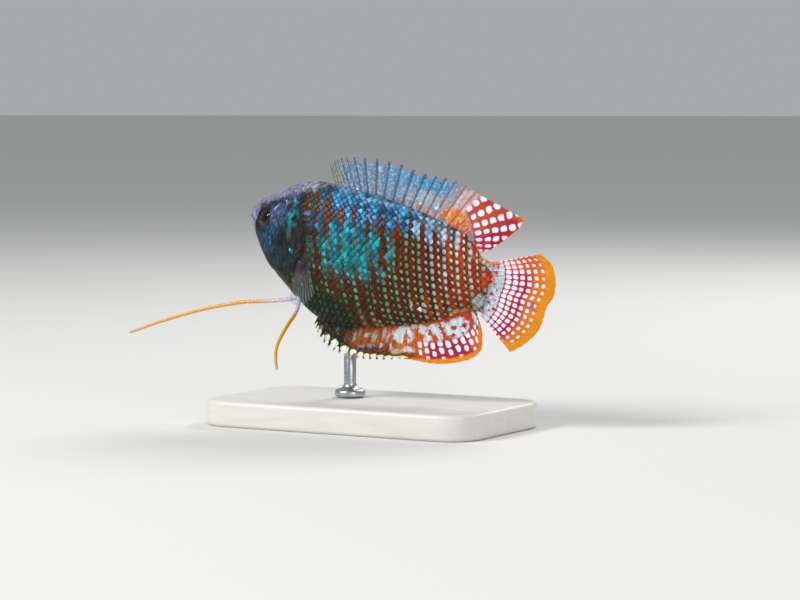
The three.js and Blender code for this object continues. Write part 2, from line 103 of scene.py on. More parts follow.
# The body's outline as (distance behind the mouth, size)
back_height = through([
    (0.6, 2.4), (1.3, 3.0), (2.6, 3.95), (4.5, 5.1), (7.3, 6.85), (10, 8.8), (14.4, 10.4), (20, 10.9),
    (28, 11.2), (36, 11.0), (44, 9.9), (48, 9.0), (50, 7.7), (52, 5.7), (54.6, 5.0),
])
belly_height = through([
    (0.6, -1.5), (1.4, -2.4), (2.7, -3.9), (4.6, -5.9), (7.7, -8.8), (12.0, -11.1), (16.0, -13.1),
    (21, -15.2), (27, -15.5), (33, -13.9), (40, -11.5), (46, -8.9), (50, -6.4), (52, -5.3), (54.6, -4.9),
])
half_width = through([
    (0.6, 1.4), (2, 2.1), (3.5, 2.75), (6, 3.6), (10, 4.6), (15, 5.2), (20, 5.3), (28, 5.0), (36, 4.2),
    (44, 3.0), (50, 1.9), (53, 1.2), (54.6, 0.75),
])
widest_height = through([(0.6, 0.3), (4, -0.6), (12, -1.8), (24, -1.5), (40, -0.5), (54.6, 0)])
# The gill cover's hind edge as (height, distance behind the mouth)
gill_edge = through([
    (-18, 11.5), (-13, 13.2), (-9.4, 15.2), (-6.6, 16.3), (-2.6, 17.6), (1.3, 17.1), (5.7, 15.1), (13, 13.6),
])
GILL_FLARE = 0.4
GILL_COVER_LENGTH = 1.8
GILL_TOP = 6.5
GILL_BOTTOM = -11.0
EYE_ALONG = 6.0
EYE_HEIGHT = 0.7
EYE_RADIUS = 2.05
EYE_HALF_DEPTH = 1.25
EYE_BULGE = 0.45
EYE_FORWARD = math.radians(8)
NOSTRILS = [(2.8, 2.3, 0.32), (3.9, 3.1, 0.26)]  # along, height, radius
HEAD_END = 19.0
MOUTH_FRONT = (0.7, 1.2)
MOUTH_CORNER = (2.7, -0.8)
LIP = 0.36


def fullness(along):
    """How much of its full section the snout has, as on a quarter circle."""
    t = np.clip((along - SNOUT_TIP) / SNOUT_ROUND, 0, 1)
    return np.sqrt(1 - (1 - t) ** 2)


def middle_height(along):
    """The height at which a section is widest."""
    full = fullness(along)
    return SNOUT_HEIGHT * (1 - full) + widest_height(along) * full


def body_point(along, turn):
    """A point of the body's outline; turn goes round from the left flank over the back."""
    along, turn = np.broadcast_arrays(np.asarray(along, float), np.asarray(turn, float))
    full, middle = fullness(along), middle_height(along)
    reach = np.where(np.sin(turn) > 0, back_height(along), belly_height(along))
    side = np.cos(turn)
    out = half_width(along) * full * np.sign(side) * np.abs(side) ** FLANK_SHAPE
    return np.stack([along, -out, middle + (reach - middle) * full * np.abs(np.sin(turn))], -1)


def body_normal(along, turn):
    """The direction straight out of the body's outline."""
    ahead = np.maximum(np.asarray(along, float), SNOUT_TIP + 0.08)
    lengthwise = body_point(ahead + 0.05, turn) - body_point(ahead - 0.05, turn)
    around = body_point(ahead, turn + 0.03) - body_point(ahead, turn - 0.03)
    normal = np.cross(lengthwise, around)
    normal /= np.linalg.norm(normal, axis=-1, keepdims=True)
    axis = np.stack(np.broadcast_arrays(ahead, 0.0, middle_height(ahead)), -1)
    outside = body_point(ahead, turn) - axis
    return normal * np.sign(np.sum(normal * outside, -1, keepdims=True))


def turn_at(along, height):
    """The turn at which the left flank has a height."""
    middle = middle_height(along)
    reach = np.where(height > middle, back_height(along) - middle, middle - belly_height(along))
    return np.arcsin(np.clip((height - middle) / (reach * fullness(along)), -1, 1))


def posed(points):
    """Straight-fish millimetres in the model's frame, in metres: bent to one side, nose up."""
    angle = (points[..., 0] - BODY_LENGTH / 2) / BEND_RADIUS
    reach = BEND_RADIUS - points[..., 1]
    x = reach * np.sin(angle)
    z = points[..., 2]
    tilted = [
        x * math.cos(NOSE_UP) + z * math.sin(NOSE_UP),
        BEND_RADIUS - reach * np.cos(angle),
        z * math.cos(NOSE_UP) - x * math.sin(NOSE_UP),
    ]
    return (np.stack(tilted, -1) + POSE_SHIFT) * MM


def mirrored(points):
    """Points of the straight fish on its other side."""
    return points * np.array([1.0, -1.0, 1.0])


def smooth(edge_low, edge_high, value):
    """0 up to one edge, 1 from the other, eased between them."""
    t = np.clip((value - edge_low) / (edge_high - edge_low), 0, 1)
    return t * t * (3 - 2 * t)


def bump(distance, width):
    """1 at distance 0, falling off over width on both sides."""
    return np.exp(-((distance / width) ** 2))


# Scales lie in rows along the flank. Each next row is half a scale further on, and the columns lean.
SCALE_PITCH = 1.22
ROW_SPACING = 0.70
COLUMN_LEAN = 0.29
COLUMN_START = 47.2  # a column that lies on a bar, at the flank's middle
ROW_START = 1.1
ARC_STEPS = 240
BARE_MIDDLE = 0.38  # from a scale's root to the middle of its bare part, in scales
FINE_PITCH = 0.78  # on the head
FINE_SPACING = 0.44
SCALE_LENGTH = 1.62  # in scales, so that each lies over the next
ROOT_AHEAD = 0.62  # how far a scale reaches in front of its root, in scales
SCALE_HALF_HEIGHT = 1.12  # in rows
FLANK_LIFT = 0.12  # how far a scale's hind edge stands off the skin
HEAD_LIFT = 0.05
PATCH = 0.003  # a scale's size in the map OFBake
OWN_COLOR = 0.7  # how far a scale is of one colour
OWN_BAR = 0.3  # how far a bar follows the scales it crosses
# Corners nearer than this, in metres, are one
SKIN_DOUBLES = 2e-6
FIN_DOUBLES = 1e-6


STATIONS = np.linspace(SNOUT_TIP + 0.1, STALK_END, 271)
TURN_TABLE = np.linspace(-math.pi / 2, math.pi / 2, ARC_STEPS + 1)


def flank_arc(along):
    """The length round the flank from its middle up to each turn of TURN_TABLE."""
    points = body_point(np.full_like(TURN_TABLE, along), TURN_TABLE)
    length = np.concatenate([[0], np.cumsum(np.linalg.norm(np.diff(points, axis=0), axis=1))])
    return length - length[ARC_STEPS // 2]


ARC_TABLE = np.array([flank_arc(along) for along in STATIONS])


def arc_of(along, turn):
    """The length round the flank from its middle up to a turn between belly and back."""
    i = np.clip((along - STATIONS[0]) / (STATIONS[1] - STATIONS[0]), 0, len(STATIONS) - 1.001)
    j = np.clip((turn + math.pi / 2) / (TURN_TABLE[1] - TURN_TABLE[0]), 0, ARC_STEPS - 0.001)
    i0, j0 = i.astype(int), j.astype(int)
    di, dj = i - i0, j - j0
    low = ARC_TABLE[i0, j0] * (1 - dj) + ARC_TABLE[i0, j0 + 1] * dj
    high = ARC_TABLE[i0 + 1, j0] * (1 - dj) + ARC_TABLE[i0 + 1, j0 + 1] * dj
    return low * (1 - di) + high * di


def lattice_of(along, arc, chance=0.5):
    """Where a point lies among the scales: columns, rows, and a number of its own for each scale."""
    column = (along + COLUMN_LEAN * arc - COLUMN_START - COLUMN_LEAN * ROW_START) / SCALE_PITCH + 0.5
    row = (arc - ROW_START) / (2 * ROW_SPACING)
    return np.stack(np.broadcast_arrays(column, row, chance), -1)


def grid(columns, rows, solid=False):
    """A flat bmesh grid from 0,0 to 1,1. A solid one has a second face at height 1, and side walls."""
    bm = bmesh.new()
    bmesh.ops.create_grid(bm, x_segments=columns, y_segments=rows, size=0.5)
    bmesh.ops.translate(bm, vec=(0.5, 0.5, 0), verts=bm.verts[:])
    if solid:
        bmesh.ops.solidify(bm, geom=bm.faces[:], thickness=1.0)
        floor = min(v.co.z for v in bm.verts)
        bmesh.ops.translate(bm, vec=(0, 0, -floor), verts=bm.verts[:])
    return bm


def corners(mesh):
    """A mesh's corners as an array."""
    places = np.empty(len(mesh.vertices) * 3)
    mesh.vertices.foreach_get("co", places)
    return places.reshape(-1, 3)


def mesh_of(name, bm):
    """Turns a bmesh into a mesh."""
    mesh = bpy.data.meshes.new(name)
    bm.to_mesh(mesh)
    bm.free()
    return mesh


def shaped(mesh, points, marks, patches=None):
    """Moves a mesh's corners to points, in metres, and keeps marks, its vectors for the materials."""
    mesh.vertices.foreach_set("co", points.ravel())
    for name, values in marks.items():
        layer = mesh.attributes.new(name, "FLOAT_VECTOR", "POINT")
        layer.data.foreach_set("vector", np.asarray(values, np.float32).ravel())
    if patches is not None:
        corner_of = np.empty(len(mesh.loops), int)
        mesh.loops.foreach_get("vertex_index", corner_of)
        uv_map = mesh.uv_layers.new(name="OFBake")
        uv_map.data.foreach_set("uv", patches[corner_of].astype(np.float32).ravel())
    mesh.update()
    return mesh


def outward(mesh, doubles=0.0):
    """Turns a mesh's faces outwards, after merging corners nearer than doubles and closing its holes."""
    bm = bmesh.new()
    bm.from_mesh(mesh)
    if doubles:
        bmesh.ops.remove_doubles(bm, verts=bm.verts[:], dist=doubles)
        bmesh.ops.dissolve_degenerate(bm, edges=bm.edges[:], dist=doubles / 2)
        open_edges = [e for e in bm.edges if e.is_boundary]
        if open_edges:
            bmesh.ops.holes_fill(bm, edges=open_edges, sides=0)
    bmesh.ops.recalc_face_normals(bm, faces=bm.faces[:])
    bm.to_mesh(mesh)
    bm.free()
    return mesh


def piece(context, mesh, material, replaced=()):
    """Puts a finished mesh on the fish."""
    if not mesh.polygons:
        raise RuntimeError(f"{mesh.name} has no faces")
    mesh.polygons.foreach_set("use_smooth", [True] * len(mesh.polygons))
    made = bpy.data.objects.new(mesh.name, mesh)
    context.scene.collection.objects.link(made)
    mesh.materials.append(material)
    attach(made, "root")
    if replaced:
        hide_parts(*replaced)
    return made


def linear(code):
    """An sRGB hex colour as linear red, green and blue."""
    parts = [int(code[i:i + 2], 16) / 255 for i in (1, 3, 5)]
    return tuple(p / 12.92 if p <= 0.04045 else ((p + 0.055) / 1.055) ** 2.4 for p in parts)


def feed(tree, socket, value):
    """Gives a node's input a value, or a link from a socket or a node's first output."""
    if isinstance(value, bpy.types.Node):
        value = next(out for out in value.outputs if out.enabled)
    if isinstance(value, bpy.types.NodeSocket):
        tree.links.new(value, socket)
    elif isinstance(value, str):
        socket.default_value = (*linear(value), 1)
    elif socket.type == "RGBA":
        socket.default_value = (*value, 1)
    else:
        socket.default_value = value


def add(tree, kind, inputs=(), **settings):
    """Adds a node with its settings. Its inputs come by name, or in order."""
    made = tree.nodes.new(kind)
    for name, value in settings.items():
        setattr(made, name, value)
    if isinstance(inputs, dict):
        pairs = [(made.inputs[name], value) for name, value in inputs.items()]
    else:
        pairs = zip([socket for socket in made.inputs if socket.enabled], inputs)
    for socket, value in pairs:
        feed(tree, socket, value)
    return made


class GouramiSizes(bpy.types.PropertyGroup):
    """Sizes of the model's surface detail"""

    coat_depth: bpy.props.FloatProperty(
        name="Coat Depth",
        description="How far the skin lies under the tops of the flank's scales",
        default=0.15 * MM,
        min=0.0,
        unit="LENGTH",
        precision=5,
    )
    scale_thickness: bpy.props.FloatProperty(
        name="Scale Thickness",
        description="Thickness of a flank scale at its free edge",
        default=0.035 * MM,
        min=0.0,
        unit="LENGTH",
        precision=5,
    )
    membrane: bpy.props.FloatProperty(
        name="Fin Membrane",
        description="Half the thickness of the fins between their rays",
        default=0.12 * MM,
        min=0.0,
        unit="LENGTH",
        precision=5,
    )
    seed: bpy.props.IntProperty(
        name="Seed",
        description="Start of the random differences between the scales",
        default=7,
    )


class GouramiColors(bpy.types.PropertyGroup):
    """Colours of the fish and its stand"""

    turquoise: bpy.props.FloatVectorProperty(
        name="Turquoise",
        description="The shining scales in the flank's front half",
        subtype="COLOR",
        default=linear("#12a0a8"),
        min=0.0,
        max=1.0,
    )
    rust: bpy.props.FloatVectorProperty(
        name="Rust",
        description="The bars on the flank, where they aren't brighter or darker",
        subtype="COLOR",
        default=linear("#542204"),
        min=0.0,
        max=1.0,
    )
    lilac: bpy.props.FloatVectorProperty(
        name="Lilac",
        description="The snout and crown",
        subtype="COLOR",
        default=linear("#b4b1dc"),
        min=0.0,
        max=1.0,
    )
    pearl: bpy.props.FloatVectorProperty(
        name="Pearl",
        description="The pale spots on the fins",
        subtype="COLOR",
        default=linear("#e2eaf8"),
        min=0.0,
        max=1.0,
    )
    feeler: bpy.props.FloatVectorProperty(
        name="Feeler",
        description="The feelers' outer part",
        subtype="COLOR",
        default=linear("#e09a14"),
        min=0.0,
        max=1.0,
    )
    base: bpy.props.FloatVectorProperty(
        name="Base",
        description="The paint on the stand's base",
        subtype="COLOR",
        default=linear("#e2dfd8"),
        min=0.0,
        max=1.0,
    )


def snout_place(along, height):
    """Distance along the mouth's line from its front, and height over it."""
    line = np.array(MOUTH_CORNER) - np.array(MOUTH_FRONT)
    length = np.linalg.norm(line)
    line /= length
    x, z = along - MOUTH_FRONT[0], height - MOUTH_FRONT[1]
    return x * line[0] + z * line[1], z * line[0] - x * line[1], length


def skin_relief(along, height, coat):
    """How far the skin stands off the body's outline, in millimetres."""
    ahead = gill_edge(height) - along
    flare = np.clip(1 - ahead / GILL_COVER_LENGTH, 0, 1) * (ahead >= 0)
    cover = smooth(0, 3, GILL_TOP - height) * smooth(0, 3, height - GILL_BOTTOM)
    relief = GILL_FLARE * flare ** 2 * cover
    relief -= 0.16 * bump(ahead - 5.6, 0.7) * cover  # the groove of the cheek bone
    relief -= 0.10 * bump(ahead + 0.25, 0.3) * cover  # the shadow gap behind the cover
    relief += 0.05 * bump(ahead - 3.6, 0.5) * cover
    # Lips round the slit of the mouth
    on, over, length = snout_place(along, height)
    reach = smooth(length + 0.5, length - 0.35, on)
    relief += LIP * 0.85 * bump(np.abs(over) - 0.42, 0.24) * reach
    relief -= 0.55 * bump(over, 0.13) * reach
    relief -= 0.12 * bump(np.abs(over) - 0.95, 0.2) * reach
    # The socket's rim round the eye
    around = np.hypot(along - EYE_ALONG, height - EYE_HEIGHT)
    relief += 0.16 * bump(around - 2.0, 0.28) - 0.5 * smooth(1.75, 1.2, around)
    relief -= 0.08 * bump(around - 2.55, 0.3)
    for at, up, radius in NOSTRILS:
        hole = np.hypot(along - at, height - up)
        relief += 0.10 * bump(hole - radius * 1.25, 0.12) - 0.4 * bump(hole, radius * 0.7)
    # Rays that carry the throat's skin
    throat = smooth(-5.2, -7.0, height) * smooth(16.5, 12, along) * smooth(3.5, 6, along)
    relief += 0.02 * np.sin(2 * math.pi * (height + 0.55 * along) / 1.05) * throat
    depth = coat / MM * (0.25 + 0.75 * smooth(2.5, 9.0, along - 0.5 * np.maximum(height - 4, 0)))
    return relief - depth * smooth(0.6, 3.0, along)


def zone_of(plain, column):
    """Distance behind the gill cover's edge, column for the bars, and distance off the mouth's line."""
    on, over, length = snout_place(plain[..., 0], plain[..., 2])
    beyond = np.maximum(on - length, 0)
    behind = plain[..., 0] - gill_edge(plain[..., 2])
    return np.stack(np.broadcast_arrays(behind, column, np.hypot(over, beyond)), -1)


class GOURAMI_OT_skin(bpy.types.Operator):
    """Wraps one skin round head, trunk and tail stalk, with its mouth, nostrils, sockets and gill covers"""

    bl_idname = "gourami.skin"
    bl_label = "Add Skin"

    head_rings = 190
    trunk_rings = 125
    sides = 300
    crowding = 1.6  # how much closer the head's rings lie at the snout

    def execute(self, context):
        sizes = context.scene.gourami_sizes
        rings = self.head_rings + self.trunk_rings
        mesh = mesh_of("skin", grid(rings, self.sides))
        flat = corners(mesh)
        split = self.head_rings / rings
        t = np.clip(flat[:, 0] / split, 0, 1)
        near = SNOUT_TIP + 0.002 + (HEAD_END - SNOUT_TIP) * t ** self.crowding
        behind = np.clip((flat[:, 0] - split) / (1 - split), 0, 1)
        along = near + (STALK_END - HEAD_END) * behind
        turn = 2 * math.pi * flat[:, 1] - math.pi / 2
        plain = body_point(along, turn)
        normal = body_normal(along, turn)
        off = skin_relief(plain[:, 0], plain[:, 2], sizes.coat_depth)
        points = plain + normal * off[:, None]
        folded = np.where(turn > math.pi / 2, math.pi - turn, turn)
        arc = arc_of(along, folded)
        lattice = lattice_of(along, arc)
        marks = {"place": plain, "lattice": lattice, "zone": zone_of(plain, lattice[:, 0])}
        patches = np.stack([0.02 + 0.96 * along / STALK_END, 0.02 + 0.96 * flat[:, 1]], -1)
        shaped(mesh, posed(points), marks, patches)
        outward(mesh, SKIN_DOUBLES)
        material = fish_material("wet fish skin", markings(context.scene.gourami_colors), skin_bump)
        piece(context, mesh, material, ("head", "trunk", "tail_stalk"))
        return {"FINISHED"}


def repeated(context, bm, count):
    """A mesh of count copies of a small form, one after another."""
    small = bpy.data.objects.new("form", mesh_of("form", bm))
    context.scene.collection.objects.link(small)
    array = small.modifiers.new("copies", "ARRAY")
    array.count = count
    array.use_relative_offset = False
    array.use_constant_offset = True
    array.constant_offset_displace = (2, 0, 0)
    ready = small.evaluated_get(context.evaluated_depsgraph_get())
    mesh = bpy.data.meshes.new_from_object(ready)
    plain = small.data
    bpy.data.objects.remove(small)
    bpy.data.meshes.remove(plain)
    return mesh


def scale_roots(pitch, spacing, first, last):
    """Roots of the scales on one flank as along and arc, in rows that overlap like roof tiles."""
    roots = []
    rows = int(26 / spacing)
    for row in range(-rows, rows + 1):
        arc = ROW_START + row * spacing
        shift = COLUMN_START + COLUMN_LEAN * (ROW_START - arc)
        shift += pitch * (0.5 * (row % 2) - 0.5 - BARE_MIDDLE)
        for column in range(int((first - shift) / pitch), int((last - shift) / pitch) + 2):
            roots.append((shift + pitch * column, arc))
    return np.array(roots)


def station_of(along):
    """The nearest row of ARC_TABLE."""
    nearest = np.rint((along - STATIONS[0]) / (STATIONS[1] - STATIONS[0]))
    return np.clip(nearest, 0, len(STATIONS) - 1).astype(int)


def turn_from_arc(along, arc):
    """The turn between belly and back at a length round the flank from its middle."""
    lengths = ARC_TABLE[station_of(along)]
    return np.array([np.interp(at, length, TURN_TABLE) for at, length in zip(arc, lengths)])


def lie_of(roots):
    """Each root's height, its distance behind the gill cover, and how much flank is left over or under it."""
    along, arc = roots[:, 0], roots[:, 1]
    height = body_point(along, turn_from_arc(along, arc))[:, 2]
    lengths = ARC_TABLE[station_of(along)]
    room = np.minimum(lengths[:, -1] - arc, arc - lengths[:, 0])
    return height, along - gill_edge(height), room


def lay_scales(context, name, roots, side, pitch, spacing, lift, material):
    """Joins overlapping solid scales on one flank into one piece."""
    sizes = context.scene.gourami_sizes
    form = grid(5, 4, solid=True)
    form_corners = len(form.verts)
    mesh = repeated(context, form, len(roots))
    mesh.name = name
    flat = corners(mesh)[:form_corners]
    x, y, top = flat[:, 0], 2 * flat[:, 1] - 1, flat[:, 2]
    chance = np.random.default_rng(sizes.seed + side).random((len(roots), 3))
    root, middle = roots[:, :1], roots[:, 1:2]
    # The hind edge is round, and no two scales are of one size
    length = SCALE_LENGTH * pitch * (0.94 + 0.12 * chance[:, :1])
    ahead = length * (x * (1 - 0.30 * y * y * x)) - ROOT_AHEAD * pitch
    high = SCALE_HALF_HEIGHT * spacing * y * (1 - 0.12 * (1 - x) ** 2) * (0.95 + 0.1 * chance[:, 1:2])
    along = np.clip(root + ahead, SNOUT_TIP + 0.2, STALK_END)
    turn_of_root = turn_from_arc(roots[:, 0], roots[:, 1])[:, None]
    step = 0.02
    rise = arc_of(root, turn_of_root + step) - arc_of(root, turn_of_root - step)
    arc_per_turn = rise / (2 * step)
    turn = turn_of_root + high / np.maximum(arc_per_turn, 0.25)
    plain = body_point(along, turn)
    # Its root is sunk in the skin and its hind edge stands off it
    off = lift * (-0.35 + (ahead + ROOT_AHEAD * pitch) / (SCALE_LENGTH * pitch))
    off += lift * 0.22 * (1 - y * y) * np.sin(math.pi * x) * (0.7 + 0.6 * chance[:, 2:3])
    off += lift * 0.05 * (chance[:, :1] - 0.5) * y
    off += sizes.scale_thickness / MM * top
    off += skin_relief(plain[..., 0], plain[..., 2], sizes.coat_depth)
    points = plain + body_normal(along, turn) * off[..., None]
    # Its colour is mostly that of the middle of its bare part
    bare = body_point(roots[:, 0] + BARE_MIDDLE * pitch, turn_of_root[:, 0])[:, None]
    mosaic = bare * OWN_COLOR + plain * (1 - OWN_COLOR)
    lattice = lattice_of(along, middle + high, chance[:, :1])
    bare_column = lattice_of(root + BARE_MIDDLE * pitch, middle)[..., 0]
    column = bare_column * OWN_BAR + lattice[..., 0] * (1 - OWN_BAR)
    marks = {
        "place": mosaic if side > 0 else mirrored(mosaic),
        "lattice": lattice,
        "zone": zone_of(plain, column),
        "own": np.stack(np.broadcast_arrays(x, y, chance[:, 1:2]), -1),
    }
    marks = {word: values.reshape(-1, 3) for word, values in marks.items()}
    points = points if side > 0 else mirrored(points)
    around = turn_of_root + math.pi / 2 if side > 0 else 1.5 * math.pi - turn_of_root
    u = 0.02 + 0.96 * root / STALK_END + PATCH * (x - 0.5)
    v = 0.02 + 0.96 * around / (2 * math.pi) + PATCH * 0.5 * y * side
    shaped(mesh, posed(points).reshape(-1, 3), marks, np.stack([u, v], -1).reshape(-1, 2))
    return piece(context, outward(mesh), material)


class GOURAMI_OT_scales(bpy.types.Operator):
    """Lays overlapping scales over the flanks, and finer ones over the crown and gill covers"""

    bl_idname = "gourami.scales"
    bl_label = "Add Scales"

    # Over this height the nape parts the flank's scales from the head's, under it the gill cover
    on_top = GILL_TOP - 0.5
    nape = 13.0
    crown_end = 13.2
    behind_cover = 0.55
    before_cover = -0.75
    off_back = 0.25  # the flank left over or under a root
    off_crown = 0.2
    round_eye = 2.9
    snout = 4.8
    throat = -8.5

    def execute(self, context):
        group = bpy.data.node_groups.get("gourami markings") or markings(context.scene.gourami_colors)
        material = fish_material("wet comb-edged scales", group, scale_bump)
        # The flank's scales start behind the gill cover and on the nape
        big = scale_roots(SCALE_PITCH, ROW_SPACING, 8, STALK_END - 0.4)
        height, behind, room = lie_of(big)
        start = np.where(height > self.on_top, big[:, 0] > self.nape, behind > self.behind_cover)
        big = big[(room > self.off_back) & start]
        # The head's leave out the snout, the eye and the throat
        fine = scale_roots(FINE_PITCH, FINE_SPACING, 4, HEAD_END)
        height, behind, room = lie_of(fine)
        end = np.where(height > self.on_top, fine[:, 0] < self.crown_end, behind < self.before_cover)
        off_eye = np.hypot(fine[:, 0] - EYE_ALONG - 0.1, height - EYE_HEIGHT) > self.round_eye
        off_snout = fine[:, 0] > self.snout + 0.35 * np.maximum(height, 0)
        fine = fine[(room > self.off_crown) & end & off_eye & off_snout & (height > self.throat)]
        for word, side in (("left", 1), ("right", -1)):
            lay_scales(
                context, f"flank_scales_{word}", big, side, SCALE_PITCH, ROW_SPACING, FLANK_LIFT, material
            )
            lay_scales(
                context, f"head_scales_{word}", fine, side, FINE_PITCH, FINE_SPACING, HEAD_LIFT, material
            )
        return {"FINISHED"}


def dorsal_spots(ray, t, along, height):
    """The hind lobe's pale spots, on rings round a point in the flank and in rows fanning from it."""
    ahead, over = along - 38.9, height - 4.8
    angle = np.degrees(np.arctan2(over, ahead)) - 12.4
    row = (np.sqrt(np.maximum(21.16 + 1.8 * angle, 0)) - 4.6) / 0.9
    ring = (np.hypot(ahead, over) - 12.5) / 1.7
    inside = smooth(-0.75, -0.45, ring) * smooth(16.9, 17.9, ray)
    return np.stack([ring, row, inside], -1)


def anal_spots(ray, t, along, height):
    """Long pale spots between the hind rays."""
    inside = smooth(18.2, 19.0, ray) * smooth(0.52, 0.57, t) * smooth(0.93, 0.90, t)
    column = np.floor(ray / 0.94 + 0.4)
    return np.stack([ray / 0.94 - 0.1, (t - 0.62) / 0.17 + 0.3 * (column % 2), inside], -1)


def caudal_spots(ray, t, along, height):
    """Rows of pale spots along the rays, in arcs that follow the fin's edge."""
    inside = smooth(0.296, 0.302, t) * smooth(0.892, 0.884, t)
    return np.stack([ray + 0.1, (t - 0.36) / 0.096, inside], -1)


# Fins. Each row of a median fin is (ray, root along, tip along, tip height). Between the spines, its edge is
# cut back by the share that notch gives.
FIN_ROOT_SUNK = 1.4
RAY_ROOT_HALF = 0.40  # half a ray's thickness
RAY_TIP_HALF = 0.13
RAY_JOINT = 0.55  # between the joints of a soft ray
# Widths across the rays, in rays
SPINE_WIDTH = 0.10
BRANCH_WIDTH = 0.075
BRANCH_REACH = 0.17
DORSAL = {
    "rays": 24,
    "spines": 17,
    "columns": 14,  # between two rays
    "steps": 60,  # from root to tip
    "shift": 0.0,
    "notch": through([(0, 0.3), (5, 0.16), (17, 0.08)]),
    "rows": [
        (0, 19.9, 16.3, 14.3), (3, 22.4, 17.8, 15.6), (6, 25.6, 21.6, 17.0), (9, 30.2, 29.5, 18.3),
        (12, 35.8, 37.4, 17.8), (15, 40.6, 43.8, 18.2), (18, 45.0, 50.6, 16.4), (20, 47.6, 56.0, 15.2),
        (21, 48.7, 58.6, 14.2), (22, 49.7, 56.6, 10.8), (23, 50.6, 53.4, 7.2),
    ],
    "root": lambda ray, along: back_height(along) - FIN_ROOT_SUNK,
    "spots": dorsal_spots,
}
ANAL = {
    "rays": 30,
    "spines": 17,
    "columns": 12,
    "steps": 60,
    "shift": 0.0,
    "notch": through([(0, 0.3), (8, 0.16), (17, 0.06)]),
    "rows": [
        (0, 21.6, 20.7, -16.8), (2, 23.2, 21.7, -18.2), (5, 26.2, 24.8, -20.3), (9, 30.8, 30.2, -20.8),
        (13, 35.4, 35.8, -19.5), (17, 40.0, 42.0, -17.6), (21, 44.4, 48.4, -16.7), (24, 47.6, 53.8, -14.4),
        (26, 49.6, 55.9, -12.0), (28, 51.6, 55.6, -9.2), (29, 52.6, 54.8, -7.2),
    ],
    "root": lambda ray, along: belly_height(along) + FIN_ROOT_SUNK,
    "spots": anal_spots,
}
CAUDAL_ROOT_HALF = 4.6
CAUDAL = {
    "rays": 16,
    "spines": 0,
    "columns": 16,
    "steps": 110,
    "shift": 0.4,
    "notch": through([(0, 0), (16, 0)]),
    "rows": [
        (0, 53.2, 63.0, 8.9), (2, 53.2, 65.4, 7.5), (4, 53.2, 66.9, 4.8), (6, 53.2, 67.2, 1.7),
        (7.5, 53.2, 66.4, -0.5), (9, 53.2, 66.3, -2.8), (11, 53.2, 65.7, -5.7), (13, 53.2, 64.0, -8.4),
        (15, 53.2, 61.6, -10.7),
    ],
    "root": lambda ray, along: CAUDAL_ROOT_HALF * (1 - 2 * ray / 15),
    "spots": caudal_spots,
}


def ray_relief(ray, t, spec):
    """How much of a ray's full thickness a fin has, and where its rays are soft and fork."""
    off = np.abs((ray + spec["shift"] + 0.5) % 1 - 0.5)
    forked = bump(off - BRANCH_REACH * smooth(0.38, 0.75, t), BRANCH_WIDTH)
    whole = bump(off, SPINE_WIDTH)
    soft = smooth(spec["spines"] - 0.6, spec["spines"] - 0.4, ray)
    return whole * (1 - soft) + forked * soft, soft


def median_fin(context, name, spec, material):
    """A fin in the fish's middle plane, as a sheet whose rays swell its surface."""
    sizes = context.scene.gourami_sizes
    columns = (spec["rays"] - 1) * spec["columns"]
    mesh = mesh_of(f"{name}_sheet", grid(columns, spec["steps"], solid=True))
    flat = corners(mesh)
    rows = np.array(spec["rows"], float)
    ray = flat[:, 0] * rows[-1, 0]
    root_along, tip_along, tip_height = (through(rows[:, [0, k]])(ray) for k in (1, 2, 3))
    root_height = spec["root"](ray, root_along)
    from_spine = np.abs((ray + spec["shift"] + 0.5) % 1 - 0.5)
    relief, soft = ray_relief(ray, flat[:, 1], spec)
    notch = spec["notch"](ray) * smooth(0.06, 0.32, from_spine) * (1 - soft)
    ragged = 0.004 * np.sin(ray * 4.7) * np.sin(ray * 3.1 + 1) + 0.005 * smooth(0.2, 0.5, from_spine)
    t = flat[:, 1] * (1 - notch - ragged * soft)
    along = root_along + (tip_along - root_along) * t
    height = root_height + (tip_height - root_height) * t
    reach = np.hypot(tip_along - root_along, tip_height - root_height)
    thin = sizes.membrane / MM * (1 - 0.45 * flat[:, 1] ** 3)
    stout = RAY_ROOT_HALF + (RAY_TIP_HALF - RAY_ROOT_HALF) * flat[:, 1]
    joints = 1 - 0.18 * bump(((t * reach / RAY_JOINT) % 1) - 0.5, 0.12) * soft
    half = thin + (stout - thin) * relief * joints
    wave = 0.10 * np.sin(ray * 2 * math.pi / 5.3) * t ** 2 + 0.05 * np.sin(ray * math.pi) * t
    side = wave + half * (2 * flat[:, 2] - 1)
    points = np.stack([along, side, height], -1)
    marks = {
        "place": np.stack([along, np.zeros_like(along), height], -1),
        "fin": np.stack([ray, t * reach, t], -1),
        "spots": spec["spots"](ray, t, along, height),
    }
    shaped(mesh, posed(points), marks)
    return piece(context, outward(mesh, FIN_DOUBLES), material, (name,))


class GOURAMI_OT_median_fins(bpy.types.Operator):
    """Adds the fins on the back, under the belly and at the tail"""

    bl_idname = "gourami.median_fins"
    bl_label = "Add Median Fins"

    def execute(self, context):
        pearl = tuple(context.scene.gourami_colors.pearl)
        fins = (
            ("dorsal_fin", DORSAL, DORSAL_LOOKS),
            ("anal_fin", ANAL, ANAL_LOOKS),
            ("caudal_fin", CAUDAL, CAUDAL_LOOKS),
        )
        for name, spec, looks in fins:
            median_fin(context, name, spec, fin_material(looks, pearl))
        return {"FINISHED"}


# The pectoral fans. They stand off the flank and point down and back.
PECTORAL_ALONG = 18.5
PECTORAL_HEIGHT = -5.4
PECTORAL_ROOT_WIDTH = 2.2
PECTORAL_LENGTH = 8.4
PECTORAL_SPREAD = math.radians(30)
PECTORAL_RAYS = 10
PECTORAL_OUTWARD = math.radians(28)
PECTORAL_DOWNWARD = math.radians(60)
PECTORAL_SUNK = 0.8
PECTORAL_MEMBRANE = 0.06  # half its thickness
PECTORAL_RAY = 0.22  # half a ray's thickness at its root


